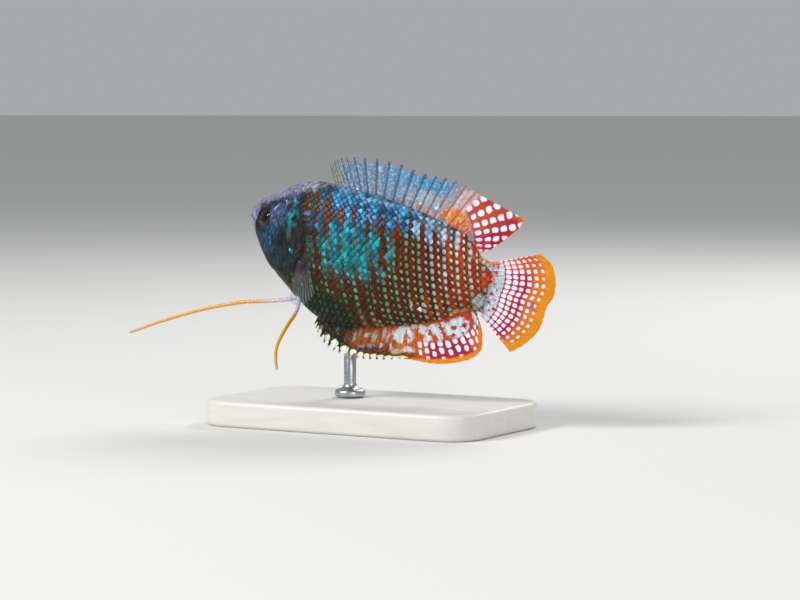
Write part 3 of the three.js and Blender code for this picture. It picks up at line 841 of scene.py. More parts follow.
class GOURAMI_OT_pectoral_fins(bpy.types.Operator):
    """Adds the two clear fans behind the gill covers"""

    bl_idname = "gourami.pectoral_fins"
    bl_label = "Add Pectoral Fins"

    def execute(self, context):
        material = pectoral_material()
        turn = turn_at(np.array(PECTORAL_ALONG), PECTORAL_HEIGHT)
        flank = body_normal(PECTORAL_ALONG, turn)
        along = np.array([math.cos(PECTORAL_DOWNWARD), 0, -math.sin(PECTORAL_DOWNWARD)])
        along -= flank * (along @ flank)
        along /= np.linalg.norm(along)
        ray = along * math.cos(PECTORAL_OUTWARD) + flank * math.sin(PECTORAL_OUTWARD)
        across = np.cross(flank, along)
        across /= np.linalg.norm(across)
        out = np.cross(ray, across)
        root = body_point(PECTORAL_ALONG, turn) - ray * PECTORAL_SUNK
        for word, side in (("left", 1), ("right", -1)):
            mesh = mesh_of(f"pectoral_fan_{word}", grid(108, 60, solid=True))
            flat = corners(mesh)
            q, t = flat[:, 0] - 0.5, flat[:, 1]
            index = flat[:, 0] * (PECTORAL_RAYS - 1)
            off = np.abs((index + 0.5) % 1 - 0.5)
            fork = 0.2 * smooth(0.5, 0.85, t)
            relief = bump(off - fork, 0.09)
            ragged = 1 - 0.03 * smooth(0.15, 0.5, off) * t
            reach = (PECTORAL_LENGTH + PECTORAL_SUNK) * (0.74 + 0.26 * np.cos(2.6 * q)) * t * ragged
            swing = PECTORAL_SPREAD * q
            half = PECTORAL_MEMBRANE + (PECTORAL_RAY - 0.13 * t - PECTORAL_MEMBRANE) * relief
            lie = PECTORAL_ROOT_WIDTH * q + np.sin(swing) * reach
            curl = 0.25 * np.sin(t * 2.2) * t + 0.08 * np.sin(index * 1.9) * t ** 2
            lift = half * (2 * flat[:, 2] - 1) + curl * 0.4
            points = root + across * lie[:, None] + out * lift[:, None]
            points += ray * (np.cos(swing) * reach)[:, None]
            marks = {"fin": np.stack([index, reach, t], -1)}
            shaped(mesh, posed(points if side > 0 else mirrored(points)), marks)
            piece(context, outward(mesh, FIN_DOUBLES), material, (f"pectoral_fin_{word}",))
        return {"FINISHED"}


FEELER_ROOT = (16.9, 1.5, -12.0)  # along, to its own side, height
FEELER_RADII = (0.42, 0.26)  # at root and tip
FEELER_RING = 0.9  # between the rings on a feeler
FEELER_TIP = 0.015  # its rounded end, as a share of its length
# The feelers' courses from their roots, in the bent fish
FEELER_COURSES = {
    "left": [
        (0, 0, 0), (0.9, -2.6, -2.9), (1.9, -7.4, -5.3), (2.7, -11.4, -7.6), (3.5, -14.0, -9.4),
        (4.8, -16.2, -11.3), (6.2, -18.0, -12.8),
    ],
    "right": [
        (0, 0, 0), (-2.7, -0.35, -0.75), (-7, -1.1, -1.35), (-14, -2.4, -1.85), (-22, -3.9, -3.4),
        (-30, -5.5, -5.7), (-38, -7.1, -8.5),
    ],
}


def course_through(stops):
    """Points and directions along a smooth curve through stops, at shares of its length."""
    stops = np.array(stops, float)
    lengths = np.concatenate([[0], np.cumsum(np.linalg.norm(np.diff(stops, axis=0), axis=1))])
    curves = [through(list(zip(lengths, stops[:, k]))) for k in range(3)]

    def place(share):
        at = share * lengths[-1]
        point = np.stack([c(at) for c in curves], -1)
        step = 1e-3 * lengths[-1]
        ahead = np.stack([c(np.minimum(at + step, lengths[-1])) for c in curves], -1)
        behind = np.stack([c(np.maximum(at - step, 0)) for c in curves], -1)
        heading = ahead - behind
        return point, heading / np.linalg.norm(heading, axis=-1, keepdims=True)

    return place, lengths[-1]


class GOURAMI_OT_feelers(bpy.types.Operator):
    """Adds the two long touch feelers under the throat"""

    bl_idname = "gourami.feelers"
    bl_label = "Add Feelers"

    def execute(self, context):
        material = feeler_material(tuple(context.scene.gourami_colors.feeler))
        for word, side in (("left", 1), ("right", -1)):
            along, out, height = FEELER_ROOT
            root = posed(np.array([along, -side * out, height])) / MM
            place, length = course_through(FEELER_COURSES[word])
            mesh = mesh_of(f"feeler_{word}", grid(360, 20))
            flat = corners(mesh)
            share = np.clip(flat[:, 0], 0, 1)
            point, heading = place(share)
            sideways = np.cross(heading, [0, 0, 1.0])
            sideways /= np.linalg.norm(sideways, axis=-1, keepdims=True)
            upward = np.cross(sideways, heading)
            angle = 2 * math.pi * flat[:, 1]
            near_tip = np.clip((share - 1 + FEELER_TIP) / FEELER_TIP, 0, 1)
            tip = np.sqrt(1 - near_tip ** 2)
            start = smooth(0, 0.002, share)
            rings = 1 + 0.05 * np.sin(share * length * 2 * math.pi / FEELER_RING)
            at_root, at_tip = FEELER_RADII
            radius = (at_root + (at_tip - at_root) * share) * tip * start * rings
            swell = 0.35 * bump(share * length, 1.2)
            ring = sideways * np.cos(angle)[:, None] + upward * np.sin(angle)[:, None]
            points = (root + point + ring * (radius * (1 + swell))[:, None]) * MM
            shaped(mesh, points, {"fin": np.stack([angle, share * length, share], -1)})
            piece(context, outward(mesh, FIN_DOUBLES), material, (f"pelvic_feeler_{word}",))
        return {"FINISHED"}


def eye_place():
    """The left eye's middle and the way it looks, on the straight fish."""
    turn = turn_at(np.array(EYE_ALONG), EYE_HEIGHT)
    looks = body_normal(EYE_ALONG, turn)
    c, s = math.cos(-EYE_FORWARD), math.sin(-EYE_FORWARD)
    looks = np.array([looks[0] * c - looks[1] * s, looks[0] * s + looks[1] * c, looks[2]])
    return body_point(EYE_ALONG, turn) + looks * (EYE_BULGE - EYE_HALF_DEPTH), looks


def spun(name, profile, steps=64):
    """A closed form spun from a profile of (radius, depth) about the depth axis."""
    bm = bmesh.new()
    verts = [bm.verts.new((r, 0, d)) for r, d in profile]
    edges = [bm.edges.new(pair) for pair in zip(verts, verts[1:])]
    bmesh.ops.spin(
        bm,
        geom=verts + edges,
        cent=(0, 0, 0),
        axis=(0, 0, 1),
        angle=2 * math.pi,
        steps=steps,
        use_merge=True,
    )
    bmesh.ops.remove_doubles(bm, verts=bm.verts[:], dist=1e-4)
    bmesh.ops.recalc_face_normals(bm, faces=bm.faces[:])
    return mesh_of(name, bm)


PUPIL_RADIUS = 1.02
IRIS_RADIUS = 1.60
IRIS_DEPTH = 0.36  # from the eyeball's middle
CORNEA_RADIUS = 1.84


def eye_profiles():
    """Profiles of the eyeball with its iris and pupil, and of the solid cornea over them."""

    def surface(radius):
        return EYE_HALF_DEPTH * math.sqrt(1 - (radius / EYE_RADIUS) ** 2)

    # The ball is open in front: a rim under the cornea, the iris sunk behind it, and a domed pupil
    shut = surface(CORNEA_RADIUS)
    turns = np.linspace(0, math.pi / 2, 14)
    ball = [(EYE_RADIUS * math.sin(a), -EYE_HALF_DEPTH * math.cos(a)) for a in turns]
    ball += [(r, surface(r)) for r in (2.0, 1.93)]
    ball += [(CORNEA_RADIUS + 0.02, shut - 0.02), (1.74, shut - 0.06), (IRIS_RADIUS, IRIS_DEPTH)]
    ball += [(1.35, IRIS_DEPTH - 0.02), (PUPIL_RADIUS + 0.1, IRIS_DEPTH + 0.02)]
    pupil = np.linspace(0, math.pi / 2, 8)
    ball += [(PUPIL_RADIUS * math.cos(a), IRIS_DEPTH + 0.03 + 0.09 * math.sin(a)) for a in pupil]
    sunk = IRIS_DEPTH - 0.1
    dome = [(0, sunk), (CORNEA_RADIUS, sunk)]
    dome += [(r, surface(r)) for r in CORNEA_RADIUS * np.sin(turns[::-1])]
    return ball, dome


class GOURAMI_OT_eyes(bpy.types.Operator):
    """Adds the eyeballs with iris and pupil, each under a clear cornea"""

    bl_idname = "gourami.eyes"
    bl_label = "Add Eyes"

    def execute(self, context):
        ball_profile, cornea_profile = eye_profiles()
        kinds = (("eyeball", ball_profile, iris_material()), ("cornea", cornea_profile, cornea_material()))
        center, looks = eye_place()
        right = np.cross(looks, [0, 0, 1.0])
        right /= np.linalg.norm(right)
        up = np.cross(right, looks)
        for word, side in (("left", 1), ("right", -1)):
            for kind, profile, material in kinds:
                mesh = spun(f"{kind}_{word}", profile)
                flat = corners(mesh)
                points = center + flat[:, :1] * right + flat[:, 1:2] * up + flat[:, 2:] * looks
                placed = posed(points if side > 0 else mirrored(points))
                shaped(mesh, placed, {"eye": flat})
                replaced = (f"eye_{word}",) if kind == "eyeball" else ()
                piece(context, outward(mesh), material, replaced)
        return {"FINISHED"}


BASE_CORNER = 6.8
BASE_RIM = 0.8
ROD_RADIUS = 1.2
ROD_FOOT = 3.0
ROD_FILLET = 1.2  # between foot and rod
ROD_IN_FISH = 1.0  # how far the rod goes on into the belly


def rod_profile(length):
    """The rod's profile as (radius, height): a foot with a soft rim, a hollow fillet, and the rod."""
    rim = [(ROD_FOOT - 0.15, 0), (ROD_FOOT, 0.15), (ROD_FOOT, 0.8)]
    rim += [(ROD_FOOT - 0.2, 1.2), (ROD_FOOT - 0.5, 1.4)]
    fillet = [
        (ROD_RADIUS + ROD_FILLET * (1 - math.sin(a)), 1.4 + ROD_FILLET * (1 - math.cos(a)))
        for a in np.linspace(0, math.pi / 2, 7)
    ]
    top = length + ROD_IN_FISH
    return [(0, 0), *rim, *fillet, (ROD_RADIUS, top), (0, top)]


class GOURAMI_OT_stand(bpy.types.Operator):
    """Adds the base plate and the rod that holds the fish"""

    bl_idname = "gourami.stand"
    bl_label = "Add Stand"

    def execute(self, context):
        low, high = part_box("stand_base")
        bm = bmesh.new()
        bmesh.ops.create_cube(bm, size=1)
        bmesh.ops.scale(bm, vec=high - low, verts=bm.verts[:])
        bmesh.ops.translate(bm, vec=(low + high) / 2, verts=bm.verts[:])
        upright = [e for e in bm.edges if abs(e.verts[0].co.z - e.verts[1].co.z) > 1e-4]
        bmesh.ops.bevel(
            bm, geom=upright, offset=BASE_CORNER * MM, affect="EDGES", segments=14, profile=0.5, material=-1
        )
        rims = [e for e in bm.edges if abs(e.verts[0].co.z - e.verts[1].co.z) < 1e-6]
        bmesh.ops.bevel(
            bm, geom=rims, offset=BASE_RIM * MM, affect="EDGES", segments=5, profile=0.5, material=-1
        )
        bmesh.ops.recalc_face_normals(bm, faces=bm.faces[:])
        material = base_material(tuple(context.scene.gourami_colors.base))
        base = piece(context, mesh_of("base_plate", bm), material, ("stand_base",))
        rounded = [abs(p.normal.z) < 0.999 for p in base.data.polygons]
        base.data.polygons.foreach_set("use_smooth", rounded)
        low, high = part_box("stand_rod")
        mesh = spun("rod", rod_profile((high.z - low.z) / MM), 72)
        bm = bmesh.new()
        bm.from_mesh(mesh)
        bmesh.ops.scale(bm, vec=(MM, MM, MM), verts=bm.verts[:])
        middle = Vector(((low.x + high.x) / 2, (low.y + high.y) / 2, low.z))
        bmesh.ops.translate(bm, vec=middle, verts=bm.verts[:])
        bm.to_mesh(mesh)
        bm.free()
        piece(context, mesh, rod_material(), ("stand_rod",))
        return {"FINISHED"}


# The fish's places are in millimetres, so a noise's scale there is its number of blotches per millimetre
HALVES = (0.5, 0.5, 0.5)  # the middle of a noise's colour


def new_material(name):
    """An empty material with its output and one surface shader."""
    made = bpy.data.materials.new(name)
    made.use_nodes = True
    tree = made.node_tree
    tree.nodes.clear()
    shader = add(tree, "ShaderNodeBsdfPrincipled")
    add(tree, "ShaderNodeOutputMaterial", {"Surface": shader})
    return made, tree, shader


def wire(tree, shader, inputs):
    """Gives a shader its inputs, as values or links."""
    for name, value in inputs.items():
        feed(tree, shader.inputs[name], value)


def paint(tree, under, where, patches):
    """Lays soft patches over a colour: middle, radii, lean in degrees, colour, strength and softness."""
    for middle, radii, lean, colour, strength, soft in patches:
        near = add(
            tree,
            "ShaderNodeMapping",
            (where, (middle[0], 0, middle[1]), (0, math.radians(lean), 0), (radii[0], 1000, radii[1])),
            vector_type="TEXTURE",
        )
        inside = add(tree, "ShaderNodeTexGradient", (near,), gradient_type="SPHERICAL").outputs["Fac"]
        cover = (inside, 0, soft, 0, strength)
        share = add(tree, "ShaderNodeMapRange", cover, interpolation_type="SMOOTHSTEP")
        under = add(tree, "ShaderNodeMix", (share, under, colour), data_type="RGBA")
    return under


def spots(tree, lattice, size, roundness, edge):
    """A mask of rounded spots at a lattice's whole numbers."""
    near = add(tree, "ShaderNodeVectorMath", (lattice, HALVES, (-0.5, -0.5, -0.5)), operation="WRAP")
    near = add(tree, "ShaderNodeVectorMath", (near, size), operation="DIVIDE")
    near = add(tree, "ShaderNodeVectorMath", (near,), operation="ABSOLUTE")
    near = add(tree, "ShaderNodeVectorMath", (near, (roundness, roundness, 1)), operation="POWER")
    reach = add(tree, "ShaderNodeVectorMath", (near, (1, 1, 0)), operation="DOT_PRODUCT").outputs["Value"]
    cover = (reach, 1 + edge, 1 - edge, 0, 1)
    return add(tree, "ShaderNodeMapRange", cover, interpolation_type="SMOOTHSTEP")


# Patches on the straight fish's side at (along, height), one over the other, as paint lays them
GROUND = [
    ((44, -2), (16, 14), 0, "#40280a", 0.9, 0.5),
    ((33, -9), (18, 8), 0, "#30300f", 0.9, 0.5),
    ((50, 2), (7, 9), 0, "#9a4a12", 0.7, 0.6),
    ((27, 1.0), (11, 8.5), 0, "#0b5f66", 0.95, 0.45),
    ((20, -2), (4, 9), 0, "#1a3424", 0.6, 0.6),
    ((19.5, 4.5), (3.4, 4.5), 0, "#154466", 0.9, 0.6),
    ((28, 9.8), (17, 5.2), 4, "#114a70", 0.95, 0.5),
    ((26, 11.4), (18, 2.6), 0, "#4f7ca0", 0.8, 0.7),
    ((42, 8.2), (6, 3.6), 14, "#5f88a8", 0.7, 0.7),
    ((23, -13), (10, 4.5), 0, "#12240f", 1.0, 0.5),
    ((35, -13.5), (7, 2.6), 14, "#8a5420", 0.6, 0.7),
]
DOT_COLORS = [
    ((25, 3.6), (9, 3.0), 0, "#1a96cc", 0.8, 0.8),
    ((19.5, 4.0), (3.4, 4.0), 0, "#2468a0", 0.8, 0.7),
    ((28, 9.4), (17, 5.0), 4, "#2a8cc4", 1.0, 0.5),
    ((26, 11.4), (18, 2.6), 0, "#84aecb", 0.8, 0.7),
    ((37.5, 8.4), (5, 2.8), 12, "#52aadc", 0.9, 0.7),
    ((44, 7.6), (8, 4.6), 12, "#b8cfe2", 1.0, 0.6),
    ((48, 3), (8, 10), 0, "#cfdcec", 0.9, 0.8),
    ((50, 6.5), (6, 5), 0, "#e6e8fa", 1.0, 0.8),
    ((46, -6.5), (7, 5), 24, "#d2d3b4", 0.7, 0.8),
    ((19, 1), (4.2, 13), 0, "#2c5048", 0.9, 0.6),
    ((24, -12.5), (11, 5), 0, "#2f5238", 1.0, 0.5),
]
BAR_COLORS = [
    ((47, 0), (14, 17), 0, "#6e2204", 1.0, 0.8),
    ((49, 6), (7, 8), 0, "#bc4204", 1.0, 0.8),
    ((51, -2), (5, 7), 0, "#a43404", 0.9, 0.8),
    ((48, -7), (9, 5), 24, "#a24208", 0.9, 0.8),
    ((20, -6), (7, 12), 0, "#3c2008", 0.7, 0.7),
    ((23, -13), (11, 5), 0, "#1d2410", 1.0, 0.6),
]
# Strokes and spots over the flank's pattern
STROKES = [
    ((20.6, 4.6), (0.45, 1.9), -14, "#4e2206", 0.9, 0.5),
    ((23.5, 5.8), (0.6, 2.1), -20, "#6c2604", 0.95, 0.5),
    ((26.3, 6.9), (0.5, 1.9), -24, "#622404", 0.9, 0.5),
    ((25.4, 0.3), (0.45, 2.2), -10, "#622404", 0.8, 0.5),
    ((28.5, 1.8), (0.4, 1.0), -10, "#5f3414", 0.7, 0.5),
    ((31.3, 6.4), (0.55, 1.9), -32, "#662604", 0.95, 0.5),
    ((33.0, 6.9), (0.6, 0.8), 0, "#622404", 0.8, 0.5),
    ((35.4, 5.4), (0.8, 2.1), 20, "#6c2404", 0.9, 0.5),
    ((33.9, 1.2), (0.55, 1.5), -20, "#662204", 1.0, 0.45),
    ((34.2, -0.6), (0.55, 1.5), 20, "#662204", 1.0, 0.45),
    ((37.4, 3.2), (0.7, 2.4), -20, "#6c2404", 0.9, 0.5),
    ((18.5, 1.0), (0.45, 2.2), 0, "#4a2812", 0.8, 0.5),
    ((35.2, 1.5), (1.0, 1.3), 0, "#1fb0b8", 0.85, 0.6),
    ((35.0, -2.3), (0.8, 0.8), 0, "#1f9a9c", 0.8, 0.6),
    ((31.5, -3.5), (1.6, 1.5), 0, "#1c9298", 0.6, 0.8),
    ((19.3, 3.6), (0.45, 1.9), -8, "#2f86d0", 0.9, 0.6),
    ((16.9, 4.3), (0.5, 0.7), 0, "#7fa0e0", 0.8, 0.6),
    ((27.0, 0.0), (0.7, 2.3), -10, "#14b3b8", 0.8, 0.7),
    # Painted glints: bright cyan spots on single scales along the shining band
    ((22.6, 3.7), (1.0, 0.6), 0, "#2ac8f0", 0.9, 0.7),
    ((26.0, 3.4), (0.9, 0.6), 0, "#2ac8f0", 0.9, 0.7),
    ((27.7, 3.6), (0.4, 0.5), 0, "#2ac8f0", 0.9, 0.7),
    ((29.7, 3.3), (0.7, 0.5), 0, "#36c2ee", 0.9, 0.7),
    ((31.2, 3.7), (0.4, 0.7), 0, "#36c2ee", 0.8, 0.7),
    ((38.5, 7.6), (0.6, 1.8), -18, "#8cc4f0", 0.8, 0.6),
    ((41.2, 7.6), (0.6, 2.2), -36, "#8cc0f2", 0.9, 0.6),
    ((44.2, 7.6), (0.55, 1.2), -36, "#d4e2fa", 0.9, 0.6),
    ((47.0, 7.4), (0.55, 2.2), -20, "#dfe0fa", 0.9, 0.6),
    ((49.9, 6.0), (0.4, 1.6), -14, "#e9ecff", 0.9, 0.6),
    ((41.3, -7.0), (0.5, 0.4), 0, "#d6dcf6", 0.9, 0.5),
    ((42.6, -7.3), (0.55, 0.4), 0, "#dde2fb", 0.9, 0.5),
    ((44.1, -6.4), (0.6, 0.45), 0, "#d6dcf6", 0.9, 0.5),
    ((54.0, 1.5), (1.5, 2.2), 0, "#d8440c", 0.9, 0.7),
    ((53.6, -3.0), (1.6, 2.0), 0, "#b4c8cc", 0.9, 0.7),
    ((54.2, 4.2), (1.4, 1.2), 0, "#c4ccd0", 0.8, 0.7),
    ((52.6, 5.0), (2.6, 0.7), 8, "#d9a06a", 0.8, 0.8),
    ((50.5, -5.8), (3.4, 0.7), -20, "#d9a06a", 0.8, 0.8),
]
HEAD = [
    ((9.3, 1.8), (3.4, 5.0), 0, "#4c6496", 0.95, 0.8),
    ((8.9, 3.6), (0.5, 1.6), 20, "#8f9bd6", 0.7, 0.7),
    ((10.5, 3.2), (0.5, 2.0), 14, "#7a8ccc", 0.6, 0.7),
    ((7.9, -3.4), (3.0, 3.8), 0, "#185c78", 0.95, 0.7),
    ((9.2, -3.5), (0.45, 1.7), 0, "#3f7fca", 0.8, 0.7),
    ((8.0, -1.2), (0.4, 1.4), 10, "#3a7fb4", 0.7, 0.7),
    ((12.2, -5.6), (2.8, 2.6), 0, "#0d4148", 0.9, 0.7),
    ((12.4, -1.8), (1.8, 2.4), 0, "#191c10", 0.9, 0.7),
    ((13.4, 2.5), (1.7, 3.0), 0, "#0f9499", 0.95, 0.6),
    ((12.2, 3.0), (0.45, 2.0), 6, "#3a8fd0", 0.8, 0.6),
    ((13.9, -0.6), (0.6, 1.6), 0, "#119a8c", 0.6, 0.7),
    ((14.3, 0.1), (0.6, 1.0), 0, "#581408", 0.9, 0.6),
    ((14.6, -1.2), (0.4, 0.7), 0, "#43100a", 0.9, 0.6),
    ((14.1, 2.6), (0.65, 0.75), 0, "#05070a", 1.0, 0.5),
    ((12.6, 6.0), (2.2, 1.3), 10, "#6f8ed4", 0.8, 0.8),
    ((10.8, 5.2), (0.9, 0.6), 20, "#c3c9f4", 0.7, 0.7),
    ((16.3, 0.0), (0.8, 4.5), 0, "#37281c", 0.8, 0.7),
    ((16.9, -2.2), (0.5, 1.8), 12, "#5c2a0c", 0.8, 0.6),
    ((15.6, -1.0), (0.4, 2.0), 0, "#1e1a12", 0.8, 0.6),
    ((9.0, -9.6), (8, 3.2), 24, "#201d12", 0.95, 0.6),
    ((13.5, -9.6), (4, 3), 20, "#1e2412", 0.9, 0.6),
    # A painted highlight: a bright cyan glint on the gill cover
    ((15.0, -3.3), (0.9, 0.32), 12, "#30c4ea", 1.0, 0.6),
    ((15.3, -2.4), (0.5, 0.3), 0, "#22206a", 0.8, 0.6),
    ((6.6, -7.5), (6.2, 1.5), 40, "#6c6476", 0.85, 0.7),
]


def markings(colors):
    """The node group that colours skin and scales alike, by their places on the straight fish."""
    group = bpy.data.node_groups.new("gourami markings", "ShaderNodeTree")
    for name, kind in (("Color", "NodeSocketColor"), ("Shine", "NodeSocketFloat")):
        group.interface.new_socket(name, in_out="OUTPUT", socket_type=kind)
    place, lattice, zone, own = (
        add(group, "ShaderNodeAttribute", attribute_name=name).outputs["Vector"]
        for name in ("place", "lattice", "zone", "own")
    )
    # Every border strays by some tenths of a millimetre
    ripple = add(group, "ShaderNodeTexNoise", {"Vector": place, "Scale": 0.9, "Detail": 4})
    ripple = ripple.outputs["Color"]
    centred = add(group, "ShaderNodeVectorMath", (ripple, HALVES), operation="SUBTRACT")
    strayed = add(group, "ShaderNodeVectorMath", (centred, (2.0, 0, 2.0), place), operation="MULTIPLY_ADD")
    spot_place = add(group, "ShaderNodeVectorMath", (centred, (0.7, 0, 0.7), place), operation="MULTIPLY_ADD")
    parts = add(group, "ShaderNodeSeparateXYZ", (strayed,)).outputs
    along = add(group, "ShaderNodeSeparateXYZ", (place,)).outputs["X"]
    lattice_parts = add(group, "ShaderNodeSeparateXYZ", (lattice,)).outputs
    zone_parts = add(group, "ShaderNodeSeparateXYZ", (zone,)).outputs
    own_parts = add(group, "ShaderNodeSeparateXYZ", (own,)).outputs
    # Bars lie two scales apart at the tail, and wider apart and unsteady in front
    front = add(group, "ShaderNodeMapRange", (along, 30, 40, 1.0, 0.16))
    nearer = add(group, "ShaderNodeMath", (36.0, along), operation="SUBTRACT")
    nearer = add(group, "ShaderNodeMath", (nearer, 0.0), operation="MAXIMUM")
    widened = add(group, "ShaderNodeMath", (nearer, 0.13, zone_parts["Y"]), operation="MULTIPLY_ADD")
    sway = add(group, "ShaderNodeTexNoise", {"Vector": place, "Scale": 0.33, "Detail": 2})
    sway = add(group, "ShaderNodeMath", (sway, 0.5), operation="SUBTRACT")
    sway = add(group, "ShaderNodeMath", (sway, front), operation="MULTIPLY")
    column = add(group, "ShaderNodeMath", (sway, 2.6, widened), operation="MULTIPLY_ADD")
    angle = add(group, "ShaderNodeMath", (column, math.pi, -0.5 * math.pi), operation="MULTIPLY_ADD")
    wave = add(group, "ShaderNodeMath", (angle,), operation="COSINE")
    speck = add(group, "ShaderNodeTexNoise", {"Vector": place, "Scale": 1.7, "Detail": 3})
    speck = add(group, "ShaderNodeMath", (speck, 0.5), operation="SUBTRACT")
    ragged = add(group, "ShaderNodeMath", (front, 1.6, 0.5), operation="MULTIPLY_ADD")
    ragged = add(group, "ShaderNodeMath", (speck, ragged), operation="MULTIPLY")
    wave = add(group, "ShaderNodeMath", (wave, ragged), operation="ADD")
    rows = add(group, "ShaderNodeMath", (lattice_parts["Y"], 2 * math.pi), operation="MULTIPLY")
    rows = add(group, "ShaderNodeMath", (rows,), operation="COSINE")
    wave = add(group, "ShaderNodeMath", (rows, -0.16, wave), operation="MULTIPLY_ADD")
    bar = add(group, "ShaderNodeMapRange", (wave, 0.08, 0.42, 0, 1), interpolation_type="SMOOTHSTEP")
    # Pale dots on both sides of each bar
    jitter = add(group, "ShaderNodeVectorMath", (centred, (0.25, 0.25, 0), lattice), operation="MULTIPLY_ADD")
    even = add(group, "ShaderNodeMath", (column, math.pi), operation="MULTIPLY")
    even = add(group, "ShaderNodeMath", (even,), operation="COSINE")
    even = add(group, "ShaderNodeMapRange", (even, -0.5, 0.5, 0, 1))
    wide = add(group, "ShaderNodeMapRange", (even, 0, 1, 0.25, 0.34))
    tall = add(group, "ShaderNodeMapRange", (even, 0, 1, 0.26, 0.36))
    size = add(group, "ShaderNodeCombineXYZ", (wide, tall, 1))
    dots = spots(group, jitter, size, 2.2, 0.45)
    # The shining zone in front has its colour over whole scales, the tail's in dots
    shining = paint(group, "#000000", strayed, [
        ((27, 2.2), (11.5, 9), 0, "#ffffff", 0.85, 0.4),
        ((28, 10), (17, 5.5), 4, "#ffffff", 0.9, 0.4),
    ])
    chance = add(group, "ShaderNodeMapRange", (lattice_parts["Z"], 0.15, 0.6, 0.1, 1.0))
    # Painted glints: scattered whole scales in the shining zone take the bright dot colour, and the same mask
    # makes them glossier and a little metallic
    painted_glint_and_gloss = add(group, "ShaderNodeTexNoise", {"Vector": place, "Scale": 1.1, "Detail": 2})
    painted_glint_and_gloss = add(group, "ShaderNodeMapRange", (painted_glint_and_gloss, 0.42, 0.56, 0, 1), interpolation_type="SMOOTHSTEP")
    painted_glint_and_gloss = add(group, "ShaderNodeMath", (painted_glint_and_gloss, chance), operation="MULTIPLY")
    painted_glint_and_gloss = add(group, "ShaderNodeMath", (painted_glint_and_gloss, shining), operation="MULTIPLY")
    fade = add(group, "ShaderNodeTexNoise", {"Vector": place, "Scale": 0.8, "Detail": 1})
    faintest = add(group, "ShaderNodeMapRange", (along, 30, 40, 0.0, 0.8))
    fade = add(group, "ShaderNodeMapRange", (fade, 0.40, 0.55, faintest, 1.0))
    dots = add(group, "ShaderNodeMath", (dots, fade), operation="MULTIPLY")
    dots = add(group, "ShaderNodeMath", (dots, painted_glint_and_gloss), operation="MAXIMUM")
    ground = paint(group, "#3b3a1c", strayed, GROUND)
    shining_patch = ((27, 2.0), (11.5, 8.5), 0, tuple(colors.turquoise), 1.0, 0.5)
    dot_color = paint(group, "#7c9a74", strayed, [shining_patch, *DOT_COLORS])
    yellow = add(group, "ShaderNodeMix", (0.35, dot_color, "#8f9a55"), data_type="RGBA")
    rear = add(group, "ShaderNodeMapRange", (along, 36, 42, 0, 1))
    odd = add(group, "ShaderNodeMath", (1.0, even), operation="SUBTRACT")
    odd = add(group, "ShaderNodeMath", (odd, rear), operation="MULTIPLY")
    dot_color = add(group, "ShaderNodeMix", (odd, dot_color, yellow), data_type="RGBA")
    bar_color = paint(group, tuple(colors.rust), strayed, BAR_COLORS)
    color = add(group, "ShaderNodeMix", (dots, ground, dot_color), data_type="RGBA")
    # The bars are faint on the back, in the shining zone and on the breast
    shown = paint(group, "#ffffff", strayed, [
        ((27, 11), (14, 5), 4, "#303030", 1.0, 0.6),
        ((27, 0), (7, 7), 0, "#606060", 1.0, 0.7),
        ((23, -13), (9, 5), 0, "#404040", 1.0, 0.7),
        ((42, 9.6), (6, 2), 8, "#606060", 1.0, 0.7),
    ])
    bar = add(group, "ShaderNodeMath", (bar, shown), operation="MULTIPLY")
    color = add(group, "ShaderNodeMix", (bar, color, bar_color), data_type="RGBA")
    color = paint(group, color, spot_place, STROKES)
    # The head in front of the gill cover's edge
    head_color = paint(group, "#22343a", strayed, HEAD)
    fleck = add(group, "ShaderNodeMapping", (place, (0, 0, 0), (0, math.radians(28), 0), (1.1, 1, 0.45)))
    fleck = add(group, "ShaderNodeTexNoise", {"Vector": fleck, "Scale": 1.8, "Detail": 3})
    # A noise darkens the head in blotches. Its whole range lies low, partly for the head's own dark colour
    # and partly as painted shade over the whole head
    dark = add(group, "ShaderNodeMapRange", (fleck, 0.40, 0.60, 0.22, 1.15))
    head_color = add(group, "ShaderNodeVectorMath", (head_color, dark), operation="SCALE")
    in_head = add(group, "ShaderNodeMath", (speck, 1.2, zone_parts["X"]), operation="MULTIPLY_ADD")
    in_head = add(group, "ShaderNodeMapRange", (in_head, 0.15, -0.15, 0, 1))
    color = add(group, "ShaderNodeMix", (in_head, color, head_color), data_type="RGBA")
    # Lilac over the crown, the snout and the lips. The pale band along the top of the head is partly its own
    # colour and partly painted light from above
    crown = add(group, "ShaderNodeMath", (parts["X"], -0.5, parts["Z"]), operation="MULTIPLY_ADD")
    crown = add(group, "ShaderNodeMapRange", (crown, 0.4, 1.9, 0, 1), interpolation_type="SMOOTHSTEP")
    fades = add(group, "ShaderNodeMapRange", (parts["X"], 15.5, 21, 1, 0))
    crown = add(group, "ShaderNodeMath", (crown, fades), operation="MULTIPLY")
    snout = add(group, "ShaderNodeMath", (parts["Z"], -0.06, parts["X"]), operation="MULTIPLY_ADD")
    snout = add(group, "ShaderNodeMapRange", (snout, 3.9, 3.0, 0, 1), interpolation_type="SMOOTHSTEP")
    lilac = add(group, "ShaderNodeMath", (crown, snout), operation="MAXIMUM")
    gray = add(group, "ShaderNodeMapRange", (parts["X"], 8, 15, 0, 0.75))
    lilac_color = add(group, "ShaderNodeMix", (gray, tuple(colors.lilac), "#a2a3ae"), data_type="RGBA")
    # The lilac is darkened in blotches and overall, partly for its own tone and partly as painted shade
    shade = add(group, "ShaderNodeMapRange", (fleck, 0.38, 0.62, 0.42, 0.95))
    lilac_color = add(group, "ShaderNodeVectorMath", (lilac_color, shade), operation="SCALE")
    color = add(group, "ShaderNodeMix", (lilac, color, lilac_color), data_type="RGBA")
